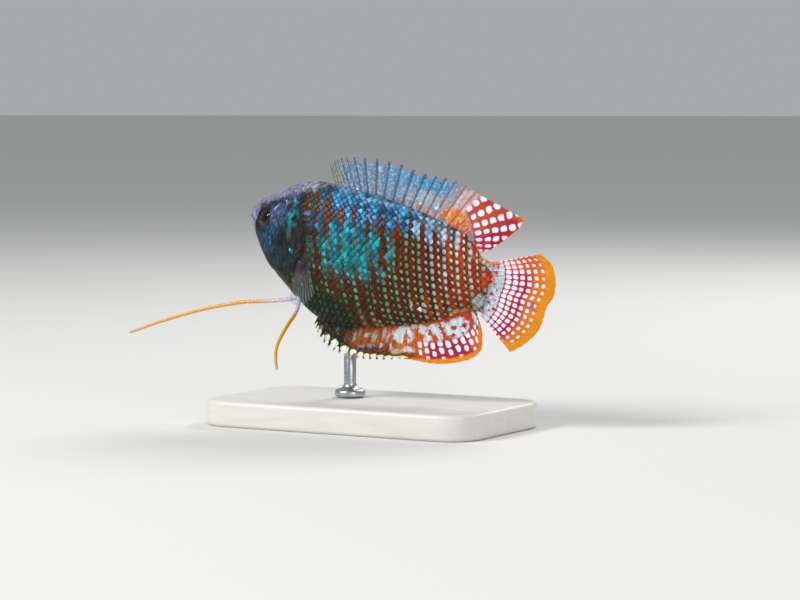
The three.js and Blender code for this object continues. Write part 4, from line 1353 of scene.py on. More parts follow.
    # The stripe before the eye, painted shade in the eye's socket round the eyeball, and the chin
    color = paint(group, color, spot_place, [
        ((4.6, 2.6), (1.9, 0.55), 0, "#5a3b3c", 0.9, 0.7),
        # Painted shade: the socket under and round the eyeball is near black
        ((6.0, 0.7), (2.0, 2.1), 0, "#1a1410", 1.0, 0.25),
        ((1.9, -3.4), (1.6, 0.9), 30, "#77709c", 0.7, 0.8),
    ])
    # Painted shade darkens the inside of the mouth's slit and of the nostrils
    slit = add(group, "ShaderNodeMath", (zone_parts["Z"],), operation="ABSOLUTE")
    slit = add(group, "ShaderNodeMapRange", (slit, 0.20, 0.05, 0, 0.9), interpolation_type="SMOOTHSTEP")
    color = add(group, "ShaderNodeMix", (slit, color, "#1d1522"), data_type="RGBA")
    color = paint(group, color, place, [
        (NOSTRILS[0][:2], (0.3, 0.3), 0, "#14101c", 1.0, 0.6),
        (NOSTRILS[1][:2], (0.25, 0.25), 0, "#14101c", 1.0, 0.6),
    ])
    # Each scale has a dark hind rim and a shade of its own
    rim = add(group, "ShaderNodeMapRange", (own_parts["X"], 0.82, 0.97, 1.0, 0.78))
    spread = add(group, "ShaderNodeMapRange", (shining, 0, 1, 0.18, 0.52))
    least = add(group, "ShaderNodeMath", (0.80, spread), operation="SUBTRACT")
    most = add(group, "ShaderNodeMath", (0.85, spread), operation="ADD")
    tone = add(group, "ShaderNodeMapRange", (own_parts["Z"], 0, 1, least, most))
    tone = add(group, "ShaderNodeMath", (tone, rim), operation="MULTIPLY")
    # Painted shade towards each scale's sides, and a little painted light along its middle
    flank = add(group, "ShaderNodeMath", (own_parts["Y"],), operation="ABSOLUTE")
    flank = add(group, "ShaderNodeMapRange", (flank, 0.25, 0.9, 1.08, 0.86))
    tone = add(group, "ShaderNodeMath", (tone, flank), operation="MULTIPLY")
    color = add(group, "ShaderNodeVectorMath", (color, tone), operation="SCALE")
    # Gloss where scales carry painted glints, and on the lilac
    shine = add(group, "ShaderNodeMath", (painted_glint_and_gloss, lilac), operation="MAXIMUM")
    add(group, "NodeGroupOutput", {"Color": color, "Shine": shine})
    return group


def fish_material(name, group, bump):
    """Wet skin or scales: the markings under a faint gloss, a little metallic where the scales shine."""
    made, tree, shader = new_material(name)
    marks = add(tree, "ShaderNodeGroup", node_tree=group)
    shine = marks.outputs["Shine"]
    wire(tree, shader, {
        "Base Color": marks.outputs["Color"],
        "Metallic": add(tree, "ShaderNodeMapRange", (shine, 0, 1, 0.0, 0.2)),
        "Roughness": add(tree, "ShaderNodeMapRange", (shine, 0, 1, 0.48, 0.36)),
        "Specular IOR Level": 0.15,
        "Coat Weight": 0.06,
        "Coat Roughness": 0.12,
        "Normal": bump(tree),
    })
    return made


def skin_bump(tree):
    """Fine pores of bare skin, 0.2 mm apart."""
    place = add(tree, "ShaderNodeAttribute", attribute_name="place").outputs["Vector"]
    pores = add(tree, "ShaderNodeTexNoise", {"Vector": place, "Scale": 5.0, "Detail": 3})
    return add(tree, "ShaderNodeBump", {"Strength": 0.3, "Distance": 0.04 * MM, "Height": pores})


COMB_WAVE = 26.0  # radians from a scale's middle to its side
RING_WAVE = 40.0  # radians from a scale's root to its hind edge


def scale_bump(tree):
    """Growth rings round a scale's root and fine comb lines along it."""
    own = add(tree, "ShaderNodeAttribute", attribute_name="own").outputs["Vector"]
    parts = add(tree, "ShaderNodeSeparateXYZ", (own,))
    comb = add(tree, "ShaderNodeMath", (parts.outputs["Y"], COMB_WAVE), operation="MULTIPLY")
    comb = add(tree, "ShaderNodeMath", (comb,), operation="SINE")
    rings = add(tree, "ShaderNodeMath", (parts.outputs["X"], RING_WAVE), operation="MULTIPLY")
    rings = add(tree, "ShaderNodeMath", (rings,), operation="SINE")
    height = add(tree, "ShaderNodeMath", (rings, 0.5, comb), operation="MULTIPLY_ADD")
    return add(tree, "ShaderNodeBump", {"Strength": 0.35, "Distance": 0.012 * MM, "Height": height})


# Patches on the fins, at (ray, share of the way to its tip)
DORSAL_PAINT = [
    ((0.8, 0.6), (2.8, 0.8), 0, "#85886c", 0.95, 0.5),
    ((5.5, 0.6), (3.5, 0.6), 0, "#62809e", 0.8, 0.7),
    ((9.8, 0.62), (2.6, 0.5), 0, "#5c8eb4", 0.8, 0.7),
    ((13.0, 0.84), (4.6, 0.40), 0, "#2f8cbc", 0.95, 0.9),
    ((13.4, 0.44), (4.4, 0.28), 0, "#a4b0b4", 0.85, 1.0),
    ((17.6, 0.75), (3.0, 0.7), 0, "#d2b2a6", 0.95, 0.8),
    ((7.0, 0.04), (9.5, 0.26), 0, "#2a74a4", 0.9, 0.9),
    ((13.5, 0.09), (6, 0.12), 0, "#88a3c2", 0.8, 0.6),
    ((11.0, 0.21), (0.4, 0.08), 0, "#c06a28", 0.8, 0.6),
    ((12.5, 0.20), (0.5, 0.08), 0, "#d8801c", 0.9, 0.6),
    ((13.7, 0.20), (0.6, 0.09), 0, "#e07f14", 0.9, 0.6),
    ((15.0, 0.21), (0.6, 0.08), 0, "#dc8a3c", 0.8, 0.6),
    ((17.0, 0.33), (1.9, 0.22), 0, "#e67c0a", 1.0, 0.4),
    ((18.4, 0.20), (1.6, 0.22), 0, "#dc5c0a", 0.95, 0.5),
    ((17.7, 0.36), (0.35, 0.12), 0, "#dcc468", 0.8, 0.7),
    ((16.5, 0.30), (0.3, 0.09), 0, "#e8b040", 0.7, 0.7),
    ((18.9, 0.27), (0.3, 0.12), 0, "#e2c890", 0.8, 0.7),
    ((16.2, 0.10), (1.2, 0.05), 0, "#c6d2e2", 0.9, 0.6),
    ((18.2, 0.06), (0.6, 0.09), 0, "#d2d8f0", 0.9, 0.6),
    ((2.9, 0.28), (0.4, 0.05), 0, "#dfe9f2", 0.9, 0.7),
    ((5.4, 0.22), (0.4, 0.05), 0, "#cfe2f6", 0.9, 0.7),
    ((12.9, 0.30), (0.25, 0.05), 0, "#f2f6ff", 1.0, 0.6),
    ((13.9, 0.34), (0.22, 0.05), 0, "#e4eefc", 0.9, 0.6),
    ((14.8, 0.34), (0.25, 0.06), 0, "#eef4ff", 0.9, 0.6),
]
DORSAL_NET = [
    ((19.0, 0.5), (2.2, 0.8), 0, "#bc4a24", 0.9, 0.7),
    ((20.6, 0.98), (1.2, 0.12), 0, "#b4604a", 0.8, 0.6),
]
DORSAL_OVER = [
    ((21.0, 1.02), (0.75, 0.07), 0, "#ee8200", 1.0, 0.5),
    ((22.6, 1.0), (1.6, 0.06), 0, "#ea7c06", 1.0, 0.5),
    ((23.0, 0.1), (1.8, 0.26), 0, "#d4440c", 0.9, 0.6),
]
ANAL_PAINT = [
    ((11.5, 0.4), (4.5, 0.8), 0, "#9a4a10", 0.95, 0.5),
    ((11.5, 0.78), (4, 0.2), 0, "#3c2422", 0.85, 0.6),
    ((19, 0.3), (6.5, 0.8), 0, "#c4560c", 0.95, 0.5),
    ((25, 0.35), (5, 0.8), 0, "#b8400f", 0.9, 0.6),
    # A painted glint: a teal sparkle on the fin's dark front
    ((5.4, 0.33), (0.8, 0.14), 0, "#14565c", 0.9, 0.7),
    ((7.3, 0.32), (0.7, 0.10), 0, "#4a3028", 0.8, 0.7),
    ((7.5, 0.52), (0.9, 0.12), 0, "#34544c", 0.7, 0.7),
    ((8.7, 0.43), (0.4, 0.18), 0, "#7fa4b4", 0.8, 0.6),
    ((9.4, 0.30), (0.35, 0.12), 0, "#7a8f8c", 0.7, 0.6),
    ((10.7, 0.37), (0.7, 0.09), 0, "#9fb4bc", 0.9, 0.6),
    ((12.0, 0.42), (0.5, 0.20), 0, "#a6b6b4", 0.9, 0.6),
    ((10.3, 0.66), (0.8, 0.06), 0, "#8498b0", 0.8, 0.6),
    ((11.7, 0.64), (0.7, 0.08), 0, "#7f92a8", 0.8, 0.6),
    ((13.6, 0.30), (0.55, 0.24), 10, "#a8b2a6", 0.8, 0.7),
    ((14.2, 0.44), (0.4, 0.14), 20, "#b0bcc0", 0.8, 0.7),
    ((13.3, 0.64), (0.35, 0.08), 0, "#bcc6d4", 0.9, 0.6),
    ((14.8, 0.66), (0.35, 0.12), 0, "#c2ccd8", 0.9, 0.6),
    ((14.9, 0.32), (0.3, 0.10), 0, "#d2c8b4", 0.8, 0.6),
    ((16.6, 0.40), (1.75, 0.27), 0, "#c6dee6", 1.0, 0.3),
    ((16.8, 0.48), (0.45, 0.22), 20, "#c6560f", 1.0, 0.5),
    ((18.3, 0.20), (0.7, 0.08), 0, "#c2d6dc", 0.9, 0.5),
    ((22.7, 0.22), (0.8, 0.07), 0, "#c6dce8", 0.9, 0.5),
    ((17.3, 0.44), (0.3, 0.10), 0, "#cc6a28", 0.9, 0.5),
    ((16.2, 0.66), (1.2, 0.07), 0, "#d06a1c", 0.9, 0.5),
    ((17.2, 0.76), (1.2, 0.10), 0, "#dbd8da", 0.9, 0.6),
    ((15.6, 0.80), (1.2, 0.10), 0, "#d8c29a", 0.7, 0.6),
    ((19.6, 0.27), (0.85, 0.13), 0, "#c2dce8", 1.0, 0.4),
    ((20.2, 0.44), (0.7, 0.14), 0, "#cfe0f0", 1.0, 0.4),
    ((21.4, 0.28), (1.2, 0.13), 0, "#c6e0ea", 1.0, 0.4),
    ((21.9, 0.40), (0.5, 0.15), 0, "#cfe0f0", 1.0, 0.4),
    ((20.7, 0.34), (0.38, 0.10), 0, "#b02c1a", 1.0, 0.5),
    ((19.0, 0.44), (0.6, 0.06), 0, "#c8501c", 1.0, 0.5),
    ((24.7, 0.36), (2.3, 0.22), 0, "#c4e0ec", 1.0, 0.3),
    ((22.4, 0.30), (0.28, 0.2), 0, "#b03414", 1.0, 0.5),
    ((18.5, 0.30), (0.25, 0.16), 0, "#b8480f", 0.9, 0.5),
    ((24.1, 0.33), (0.7, 0.06), 0, "#b02030", 1.0, 0.5),
    ((25.7, 0.39), (0.7, 0.08), 0, "#b8202c", 1.0, 0.5),
    ((23.6, 0.47), (0.6, 0.035), 0, "#a82434", 1.0, 0.5),
    ((24.9, 0.50), (0.4, 0.03), 0, "#a82434", 1.0, 0.5),
    ((26.9, 0.28), (1.4, 0.05), 0, "#b82218", 0.9, 0.5),
    ((28.2, 0.45), (0.6, 0.3), 0, "#dfe6f4", 0.9, 0.6),
]
ANAL_NET = [
    ((19.0, 0.72), (1.5, 0.5), 0, "#c8601c", 0.7, 0.8),
    ((26.5, 0.8), (2, 0.3), 0, "#dc6a10", 0.8, 0.7),
]
ANAL_OVER = [
    ((5.5, 1.04), (9.5, 0.13), 0, "#d9dda2", 1.0, 0.4),
    ((22.5, 1.02), (6.5, 0.15), 0, "#e8860a", 1.0, 0.35),
    ((28.0, 0.92), (1.8, 0.22), 0, "#e27a08", 1.0, 0.4),
    ((2.2, 0.72), (0.5, 0.22), 0, "#a8a890", 0.6, 0.7),
    ((2.3, 0.86), (0.34, 0.14), 0, "#eef2c4", 1.0, 0.5),
    ((4.25, 0.76), (0.55, 0.17), 0, "#e6efd6", 1.0, 0.45),
    ((5.8, 0.78), (0.68, 0.17), 0, "#eef7e6", 1.0, 0.35),
    ((7.7, 0.83), (0.78, 0.13), 0, "#f0f8e2", 1.0, 0.35),
    ((9.2, 0.85), (0.68, 0.11), 0, "#f0f8e2", 1.0, 0.35),
    ((10.4, 0.88), (0.55, 0.08), 0, "#f2f4cc", 1.0, 0.4),
    ((11.4, 0.90), (0.55, 0.07), 0, "#f2f4c4", 1.0, 0.4),
    ((12.4, 0.91), (0.55, 0.07), 0, "#f2f2b8", 1.0, 0.4),
    ((13.4, 0.92), (0.6, 0.06), 0, "#f2f0ae", 1.0, 0.4),
    ((14.6, 0.94), (0.8, 0.05), 0, "#f0e8a4", 1.0, 0.4),
    ((16.2, 0.955), (1.2, 0.04), 0, "#ecd88c", 1.0, 0.4),
]
CAUDAL_PAINT = [
    ((7.5, 1.05), (40, 0.35), 0, "#e08a08", 1.0, 0.2),
    ((7.5, 0.1), (9, 0.25), 0, "#b4c6d2", 0.95, 0.4),
    ((4.8, 0.06), (1.9, 0.13), 0, "#d83c08", 1.0, 0.4),
    ((0.5, 0.1), (1.6, 0.2), 0, "#dc6a10", 0.9, 0.5),
    ((3.0, 0.18), (0.5, 0.05), 0, "#cc4a10", 0.8, 0.5),
    ((8.6, 0.09), (1.1, 0.05), 0, "#b07a28", 0.9, 0.6),
    ((12, 0.03), (3, 0.05), 0, "#d27812", 0.8, 0.6),
    ((8.4, 0.18), (0.55, 0.035), 0, "#c81e24", 1.0, 0.5),
    ((10.8, 0.165), (0.7, 0.04), 0, "#c02430", 1.0, 0.5),
    ((11.4, 0.27), (0.6, 0.035), 0, "#c02038", 1.0, 0.5),
    ((13.3, 0.32), (0.6, 0.045), 0, "#b81c38", 1.0, 0.5),
    ((13.8, 0.17), (0.8, 0.045), 0, "#c02838", 1.0, 0.5),
    ((1.5, 0.21), (1.2, 0.03), 0, "#d24020", 0.9, 0.5),
    ((3.3, 0.19), (1.0, 0.03), 0, "#c4242c", 0.9, 0.5),
    ((6.0, 0.19), (1.0, 0.02), 0, "#c84028", 0.7, 0.5),
    ((7.2, 0.24), (0.45, 0.03), 0, "#c02838", 0.9, 0.6),
    ((9.4, 0.25), (0.45, 0.03), 0, "#c02438", 0.9, 0.6),
    ((12.4, 0.22), (0.5, 0.03), 0, "#bc2438", 0.9, 0.6),
    ((9.8, 0.12), (0.5, 0.03), 0, "#c43030", 0.8, 0.6),
    ((12.2, 0.11), (0.5, 0.03), 0, "#c43430", 0.8, 0.6),
]
CAUDAL_NET = [
    ((7.5, 0.92), (12, 0.33), 0, "#dc7a10", 1.0, 0.5),
    ((1.0, 0.6), (3.2, 0.5), 0, "#d8560c", 0.9, 0.7),
    ((8.0, 0.78), (1.0, 0.12), 0, "#a03a70", 0.6, 0.7),
]
CAUDAL_OVER = [
    ((7.5, 1.01), (14, 0.16), 0, "#e08a08", 1.0, 0.3),
    ((15.3, 0.9), (1.6, 0.3), 0, "#e08a08", 0.9, 0.5),
]


# What each median fin looks like. Its pale spots go from one size to another, in rays, between two shares
# of the way to the tip, and squat is their height by their width. Its flecks have a colour and a strength,
# and the lines on its rays a colour in front, one at the rear, and a strength.
DORSAL_LOOKS = {
    "material": "dorsal fin membrane",
    "under": "#76889c",
    "patches": DORSAL_PAINT,
    "flecks": ("#c4cfe0", 0.55),
    "net": "#a81838",
    "net_patches": DORSAL_NET,
    "spot_size": (0, 1, 0.36, 0.36),
    "squat": 0.76,
    "over": DORSAL_OVER,
    "lines": ("#3f4358", "#b4605c", 0.75),
}
ANAL_LOOKS = {
    "material": "anal fin membrane",
    "under": "#10190f",
    "patches": ANAL_PAINT,
    "flecks": ("#c07a48", 0.4),
    "net": "#a81a3c",
    "net_patches": ANAL_NET,
    "spot_size": (0.6, 0.88, 0.33, 0.24),
    "squat": 1.3,
    "over": ANAL_OVER,
    "lines": ("#2a1c16", "#c4682c", 0.25),
}
CAUDAL_LOOKS = {
    "material": "tail fin membrane",
    "under": "#c8d6de",
    "patches": CAUDAL_PAINT,
    "flecks": ("#e6eaf6", 0.8),
    "net": "#b0183a",
    "net_patches": CAUDAL_NET,
    "spot_size": (0.4, 0.86, 0.425, 0.22),
    "squat": 0.97,
    "over": CAUDAL_OVER,
    "lines": ("#d8a060", "#d8a060", 0.0),
}


def fin_material(looks, pearl):
    """A moist membrane, streaked along its rays, with soft patches and a net round pearly spots."""
    made, tree, shader = new_material(looks["material"])
    fin, place, lattice = (
        add(tree, "ShaderNodeAttribute", attribute_name=word).outputs["Vector"]
        for word in ("fin", "place", "spots")
    )
    ripple = add(tree, "ShaderNodeTexNoise", {"Vector": place, "Scale": 1.5, "Detail": 4}).outputs["Color"]
    centred = add(tree, "ShaderNodeVectorMath", (ripple, HALVES), operation="SUBTRACT")
    strayed = add(tree, "ShaderNodeVectorMath", (centred, (1.3, 0, 0.12), fin), operation="MULTIPLY_ADD")
    parts = add(tree, "ShaderNodeSeparateXYZ", (fin,)).outputs
    color = paint(tree, looks["under"], strayed, looks["patches"])
    fleck_color, fleck_share = looks["flecks"]
    fleck = add(tree, "ShaderNodeTexNoise", {"Vector": place, "Scale": 1.9, "Detail": 4})
    pale = (fleck, 0.50, 0.68, 0, fleck_share)
    pale = add(tree, "ShaderNodeMapRange", pale, interpolation_type="SMOOTHSTEP")
    color = add(tree, "ShaderNodeMix", (pale, color, fleck_color), data_type="RGBA")
    deep = add(tree, "ShaderNodeMapRange", (fleck, 0.30, 0.48, 0.62, 1.0))
    color = add(tree, "ShaderNodeVectorMath", (color, deep), operation="SCALE")
    # Streaks along the rays, five between two rays and about 3 mm long
    grain = add(tree, "ShaderNodeVectorMath", (fin, (5.0, 0.35, 0)), operation="MULTIPLY")
    grain = add(tree, "ShaderNodeTexNoise", {"Vector": grain, "Scale": 1.0, "Detail": 4})
    shade = add(tree, "ShaderNodeMapRange", (grain, 0.3, 0.7, 0.72, 1.25))
    color = add(tree, "ShaderNodeVectorMath", (color, shade), operation="SCALE")
    # Each membrane is lighter behind its ray than before the next
    front, behind, strength = looks["lines"]
    panel = add(tree, "ShaderNodeMath", (parts["X"],), operation="FRACT")
    panel = add(tree, "ShaderNodeMapRange", (panel, 0.1, 0.9, 1 + 0.25 * strength, 1 - 0.3 * strength))
    color = add(tree, "ShaderNodeVectorMath", (color, panel), operation="SCALE")
    # The net of spots
    wobble = add(tree, "ShaderNodeTexNoise", {"Vector": place, "Scale": 0.9, "Detail": 1}).outputs["Color"]
    wobble = add(tree, "ShaderNodeVectorMath", (wobble, HALVES), operation="SUBTRACT")
    soft = add(tree, "ShaderNodeVectorMath", (wobble, (0.3, 0.3, 0), lattice), operation="MULTIPLY_ADD")
    wide = add(tree, "ShaderNodeMapRange", (parts["Z"], *looks["spot_size"]))
    high = add(tree, "ShaderNodeMath", (wide, looks["squat"]), operation="MULTIPLY")
    size = add(tree, "ShaderNodeCombineXYZ", (wide, high, 1))
    spot = spots(tree, soft, size, 3.2, 0.45)
    net_color = paint(tree, looks["net"], strayed, looks["net_patches"])
    netted = add(tree, "ShaderNodeMix", (spot, net_color, pearl), data_type="RGBA")
    where = add(tree, "ShaderNodeSeparateXYZ", (lattice,)).outputs["Z"]
    color = add(tree, "ShaderNodeMix", (where, color, netted), data_type="RGBA")
    steady = add(tree, "ShaderNodeVectorMath", (centred, (0.6, 0, 0.05), fin), operation="MULTIPLY_ADD")
    color = paint(tree, color, steady, looks["over"])
    # Lines on the rays, outside the net
    ray = add(tree, "ShaderNodeMath", (parts["X"], 0.5, -0.5), operation="WRAP")
    ray = add(tree, "ShaderNodeMath", (ray,), operation="ABSOLUTE")
    ray = add(tree, "ShaderNodeMapRange", (ray, 0.15, 0.06, 0, strength), interpolation_type="SMOOTHSTEP")
    bare = add(tree, "ShaderNodeMath", (1.0, where), operation="SUBTRACT")
    ray = add(tree, "ShaderNodeMath", (ray, bare), operation="MULTIPLY")
    hue = add(tree, "ShaderNodeMapRange", (parts["X"], 13, 18, 0, 1))
    ray_color = add(tree, "ShaderNodeMix", (hue, front, behind), data_type="RGBA")
    wire(tree, shader, {
        "Base Color": add(tree, "ShaderNodeMix", (ray, color, ray_color), data_type="RGBA"),
        "Roughness": add(tree, "ShaderNodeMapRange", (grain, 0.3, 0.7, 0.4, 0.55)),
        "Specular IOR Level": 0.2,
        "Coat Weight": 0.05,
        "Coat Roughness": 0.15,
        "Normal": add(tree, "ShaderNodeBump", {"Strength": 0.3, "Distance": 0.03 * MM, "Height": grain}),
    })
    return made


def pectoral_material():
    """A clear membrane that hardly shows but for gray strands on its rays and a dark blue root."""
    made, tree, shader = new_material("clear fin membrane")
    fin = add(tree, "ShaderNodeAttribute", attribute_name="fin").outputs["Vector"]
    parts = add(tree, "ShaderNodeSeparateXYZ", (fin,))
    ray = add(tree, "ShaderNodeMath", (parts.outputs["X"], 0.5, -0.5), operation="WRAP")
    ray = add(tree, "ShaderNodeMath", (ray,), operation="ABSOLUTE")
    ray = add(tree, "ShaderNodeMapRange", (ray, 0.24, 0.10, 0, 1), interpolation_type="SMOOTHSTEP")
    grain = add(tree, "ShaderNodeVectorMath", (fin, (6.0, 0.5, 0)), operation="MULTIPLY")
    grain = add(tree, "ShaderNodeTexNoise", {"Vector": grain, "Scale": 1.0, "Detail": 3})
    root = add(tree, "ShaderNodeMapRange", (parts.outputs["Z"], 0.12, 0.32, 1, 0))
    color = add(tree, "ShaderNodeMix", (ray, "#3c4c54", "#6f7888"), data_type="RGBA")
    color = add(tree, "ShaderNodeMix", (root, color, "#0e2238"), data_type="RGBA")
    cover = add(tree, "ShaderNodeMapRange", (grain, 0.35, 0.65, 0.12, 0.32))
    cover = add(tree, "ShaderNodeMath", (cover, ray), operation="MAXIMUM")
    cover = add(tree, "ShaderNodeMath", (cover, root), operation="MAXIMUM")
    cover = add(tree, "ShaderNodeMapRange", (cover, 0, 1, 0.03, 0.30))
    wire(tree, shader, {"Base Color": color, "Alpha": cover, "Roughness": 0.3, "IOR": 1.36})
    return made


def feeler_material(orange):
    """Soft moist skin, lilac-white at the root, then orange, paler again at the tip."""
    made, tree, shader = new_material("feeler skin")
    fin = add(tree, "ShaderNodeAttribute", attribute_name="fin").outputs["Vector"]
    parts = add(tree, "ShaderNodeSeparateXYZ", (fin,))
    ripple = add(tree, "ShaderNodeTexNoise", {"Vector": fin, "Scale": 2.0, "Detail": 3})
    shade = add(tree, "ShaderNodeMapRange", (ripple, 0.3, 0.7, 0.8, 1.15))
    share = parts.outputs["Z"]
    warm = add(tree, "ShaderNodeMapRange", (share, 0.10, 0.34, 0, 1), interpolation_type="SMOOTHSTEP")
    pale = add(tree, "ShaderNodeMapRange", (share, 0.80, 1.0, 0, 0.6), interpolation_type="SMOOTHSTEP")
    color = add(tree, "ShaderNodeMix", (warm, "#c3bfd6", orange), data_type="RGBA")
    color = add(tree, "ShaderNodeMix", (pale, color, "#b4a88c"), data_type="RGBA")
    color = add(tree, "ShaderNodeVectorMath", (color, shade), operation="SCALE")
    rings = add(tree, "ShaderNodeTexNoise", {"Vector": fin, "Scale": 6.0, "Detail": 2})
    wire(tree, shader, {
        "Base Color": color,
        "Roughness": 0.35,
        "Coat Weight": 0.2,
        "Normal": add(tree, "ShaderNodeBump", {"Strength": 0.3, "Distance": 0.02 * MM, "Height": rings}),
    })
    return made


def iris_material():
    """A glossy black pupil in a dark red-brown iris with fine spokes and a thin gold edge."""
    made, tree, shader = new_material("painted glass eye")
    eye = add(tree, "ShaderNodeAttribute", attribute_name="eye").outputs["Vector"]
    flat = add(tree, "ShaderNodeVectorMath", (eye, (1, 1, 0)), operation="MULTIPLY")
    radius = add(tree, "ShaderNodeVectorMath", (flat,), operation="LENGTH").outputs["Value"]
    spokes = add(tree, "ShaderNodeTexNoise", {"Vector": eye, "Scale": 4.0, "Detail": 4})
    wander = add(tree, "ShaderNodeMath", (spokes, 0.18, radius), operation="MULTIPLY_ADD")
    iris = add(tree, "ShaderNodeMapRange", (spokes, 0.35, 0.65, 0, 1))
    color = add(tree, "ShaderNodeMix", (iris, "#1a0a05", "#4a1e0c"), data_type="RGBA")
    gold = add(tree, "ShaderNodeMapRange", (wander, 1.42, 1.56, 0, 1), interpolation_type="SMOOTHSTEP")
    color = add(tree, "ShaderNodeMix", (gold, color, "#5c5418"), data_type="RGBA")
    ring = add(tree, "ShaderNodeMapRange", (radius, PUPIL_RADIUS + 0.16, PUPIL_RADIUS + 0.04, 0, 1))
    color = add(tree, "ShaderNodeMix", (ring, color, "#4a300e"), data_type="RGBA")
    pupil = add(tree, "ShaderNodeMapRange", (radius, PUPIL_RADIUS + 0.04, PUPIL_RADIUS, 0, 1))
    color = add(tree, "ShaderNodeMix", (pupil, color, "#020202"), data_type="RGBA")
    outside = add(tree, "ShaderNodeMapRange", (radius, 1.68, 1.74, 0, 1))
    color = add(tree, "ShaderNodeMix", (outside, color, "#120e0c"), data_type="RGBA")
    fibres = add(tree, "ShaderNodeMath", (1.0, pupil), operation="SUBTRACT")
    fibres = add(tree, "ShaderNodeMath", (fibres, spokes), operation="MULTIPLY")
    wire(tree, shader, {
        "Base Color": color,
        "Roughness": add(tree, "ShaderNodeMapRange", (pupil, 0, 1, 0.35, 0.08)),
        "Specular IOR Level": 0.05,
        "Normal": add(tree, "ShaderNodeBump", {"Strength": 0.3, "Distance": 0.03 * MM, "Height": fibres}),
    })
    return made


def cornea_material():
    """A clear dome that gives the eye its small bright light and its depth."""
    made, tree, shader = new_material("clear cast resin")
    wire(tree, shader, {
        "Base Color": "#ffffff",
        "Transmission Weight": 1.0,
        "Roughness": 0.02,
        "IOR": 1.376,
        "Specular IOR Level": 0.3,
    })
    return made


# The stand's textures, in metres
GRAIN_LENGTH = 8.333 * MM
GRAIN_WIDTH = 1.111 * MM
ROLLER_MARK = 0.4 * MM
GROOVE_LENGTH = 5.0 * MM
GROOVE_PITCH = 0.1111 * MM


def base_material(color):
    """Pale paint with a soft satin sheen, which lets the wood's grain and the roller's marks just show."""
    made, tree, shader = new_material("satin painted wood")
    place = add(tree, "ShaderNodeTexCoord").outputs["Object"]
    fibres = (1 / GRAIN_LENGTH, 1 / GRAIN_WIDTH, 1 / GRAIN_WIDTH)
    grain = add(tree, "ShaderNodeVectorMath", (place, fibres), operation="MULTIPLY")
    grain = add(tree, "ShaderNodeTexNoise", {"Vector": grain, "Scale": 1.0, "Detail": 5})
    roller = add(tree, "ShaderNodeTexNoise", {"Vector": place, "Scale": 1 / ROLLER_MARK, "Detail": 2})
    tone = add(tree, "ShaderNodeMapRange", (grain, 0.3, 0.7, 0, 1))
    height = add(tree, "ShaderNodeMath", (grain, 0.4, roller), operation="MULTIPLY_ADD")
    wire(tree, shader, {
        "Base Color": add(tree, "ShaderNodeMix", (tone, "#d9d6cd", color), data_type="RGBA"),
        "Roughness": add(tree, "ShaderNodeMapRange", (roller, 0.3, 0.7, 0.34, 0.46)),
        "Normal": add(tree, "ShaderNodeBump", {"Strength": 0.2, "Distance": 0.03 * MM, "Height": height}),
    })
    return made


def rod_material():
    """Turned and brushed steel, its fine grooves running round the rod."""
    made, tree, shader = new_material("brushed steel")
    place = add(tree, "ShaderNodeTexCoord").outputs["Object"]
    turning = (1 / GROOVE_LENGTH, 1 / GROOVE_LENGTH, 1 / GROOVE_PITCH)
    grooves = add(tree, "ShaderNodeVectorMath", (place, turning), operation="MULTIPLY")
    grooves = add(tree, "ShaderNodeTexNoise", {"Vector": grooves, "Scale": 1.0, "Detail": 3})
    wire(tree, shader, {
        "Base Color": add(tree, "ShaderNodeMix", (grooves, "#a7aaae", "#c6c9cc"), data_type="RGBA"),
        "Metallic": 1.0,
        "Roughness": add(tree, "ShaderNodeMapRange", (grooves, 0.3, 0.7, 0.22, 0.38)),
        "Normal": add(tree, "ShaderNodeBump", {"Strength": 0.15, "Distance": 0.02 * MM, "Height": grooves}),
    })
    return made


# The camera, by the photograph's frame of 800 by 600 points
VIEW_AZIMUTH = math.radians(30)
VIEW_ELEVATION = math.radians(4)
VIEW_DISTANCE = 520.0
POINTS_PER_MM = 5.194335
FRAME_WIDTH = 800
FRAME_HEIGHT = 600
ORIGIN_POINT = (359.161, 249.800)  # where the bend's middle shows
SENSOR = 36.0
FLOOR_HALF = 30.0  # in metres, so that its end is out of sight


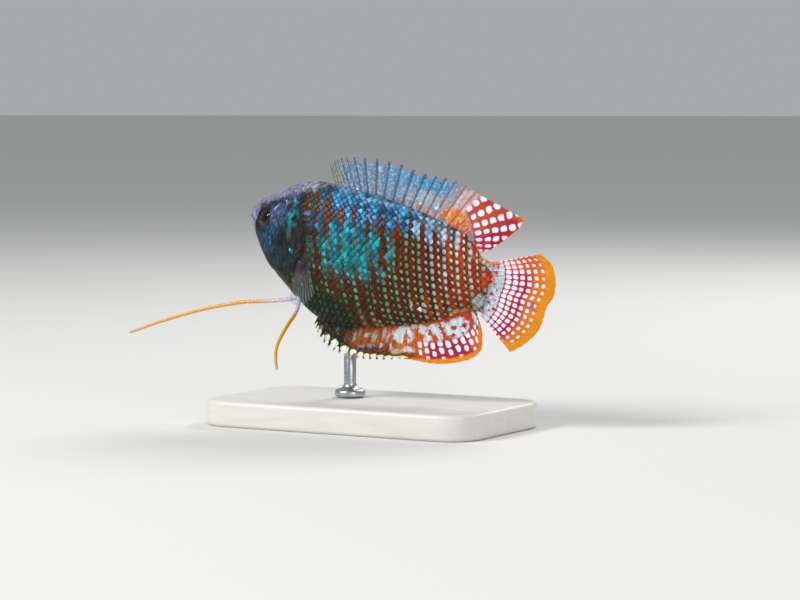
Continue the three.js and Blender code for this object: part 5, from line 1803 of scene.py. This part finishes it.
class GOURAMI_OT_stage(bpy.types.Operator):
    """Sets the camera, the soft lights and the pale floor"""

    bl_idname = "gourami.stage"
    bl_label = "Set Stage"

    def execute(self, context):
        scene = context.scene
        scene.view_settings.view_transform = "Standard"
        a, e = VIEW_AZIMUTH, VIEW_ELEVATION
        back = Vector((math.sin(a) * math.cos(e), -math.cos(a) * math.cos(e), math.sin(e)))
        right = Vector((math.cos(a), math.sin(a), 0))
        up = back.cross(right)
        off_right = (ORIGIN_POINT[0] - FRAME_WIDTH / 2) / POINTS_PER_MM
        off_up = (FRAME_HEIGHT / 2 - ORIGIN_POINT[1]) / POINTS_PER_MM
        spot = back * VIEW_DISTANCE - right * off_right - up * off_up + Vector(POSE_SHIFT)
        lens = bpy.data.cameras.new("camera")
        lens.sensor_width = SENSOR
        lens.lens = SENSOR * POINTS_PER_MM * VIEW_DISTANCE / FRAME_WIDTH
        lens.clip_start, lens.clip_end = 0.02, 100
        camera = bpy.data.objects.new("camera", lens)
        scene.collection.objects.link(camera)
        facing = Matrix((right, up, back)).transposed().to_4x4()
        camera.matrix_world = Matrix.Translation(spot * MM) @ facing
        scene.camera = camera
        bm = bmesh.new()
        bmesh.ops.create_grid(bm, x_segments=1, y_segments=1, size=FLOOR_HALF)
        floor = bpy.data.objects.new("floor", mesh_of("floor", bm))
        scene.collection.objects.link(floor)
        # A matt ground takes the soft shadow and has no shine of its own
        made, tree, shader = new_material("matt paper")
        wire(tree, shader, {"Base Color": "#dddcd8", "Roughness": 0.9})
        floor.data.materials.append(made)
        # Name, place, width in metres and power in watts
        lights = [
            ("key", (-0.30, -0.50, 0.50), 0.30, 4.2),
            ("fill", (0.5, -0.35, 0.25), 0.40, 0.9),
            ("rim", (0.1, 0.5, 0.45), 0.30, 2.0),
        ]
        for name, spot, size, power in lights:
            lamp = bpy.data.lights.new(name, "AREA")
            lamp.shape = "DISK"
            lamp.size = size
            lamp.energy = power
            light = bpy.data.objects.new(name, lamp)
            light.location = spot
            light.rotation_euler = (Vector((0, 0, 0.03)) - Vector(spot)).to_track_quat("-Z", "Y").to_euler()
            scene.collection.objects.link(light)
        world = bpy.data.worlds.new("studio")
        world.use_nodes = True
        wire(world.node_tree, world.node_tree.nodes["Background"], {"Color": "#e4e8ec", "Strength": 0.5})
        scene.world = world
        return {"FINISHED"}


OPERATORS = (
    GOURAMI_OT_stage,
    GOURAMI_OT_stand,
    GOURAMI_OT_skin,
    GOURAMI_OT_scales,
    GOURAMI_OT_eyes,
    GOURAMI_OT_median_fins,
    GOURAMI_OT_pectoral_fins,
    GOURAMI_OT_feelers,
)


class GOURAMI_PT_build(bpy.types.Panel):
    """Lists the fish's pieces"""

    bl_label = "Dwarf Gourami"
    bl_idname = "GOURAMI_PT_build"
    bl_space_type = "VIEW_3D"
    bl_region_type = "UI"
    bl_category = "Gourami"

    def draw(self, context):
        column = self.layout.column()
        for operator in OPERATORS:
            column.operator(operator.bl_idname)
        for group in (context.scene.gourami_sizes, context.scene.gourami_colors):
            for name in group.bl_rna.properties.keys():
                if name not in ("rna_type", "name"):
                    column.prop(group, name)


CLASSES = (GouramiSizes, GouramiColors, *OPERATORS, GOURAMI_PT_build)


def register():
    for cls in CLASSES:
        bpy.utils.register_class(cls)
    bpy.types.Scene.gourami_sizes = bpy.props.PointerProperty(type=GouramiSizes)
    bpy.types.Scene.gourami_colors = bpy.props.PointerProperty(type=GouramiColors)


def unregister():
    del bpy.types.Scene.gourami_colors
    del bpy.types.Scene.gourami_sizes
    for cls in reversed(CLASSES):
        bpy.utils.unregister_class(cls)


def main():
    register()
    bpy.ops.gourami.stage()
    bpy.ops.gourami.stand()
    bpy.ops.gourami.skin()
    bpy.ops.gourami.scales()
    bpy.ops.gourami.eyes()
    bpy.ops.gourami.median_fins()
    bpy.ops.gourami.pectoral_fins()
    bpy.ops.gourami.feelers()


if __name__ == "__main__":
    main()
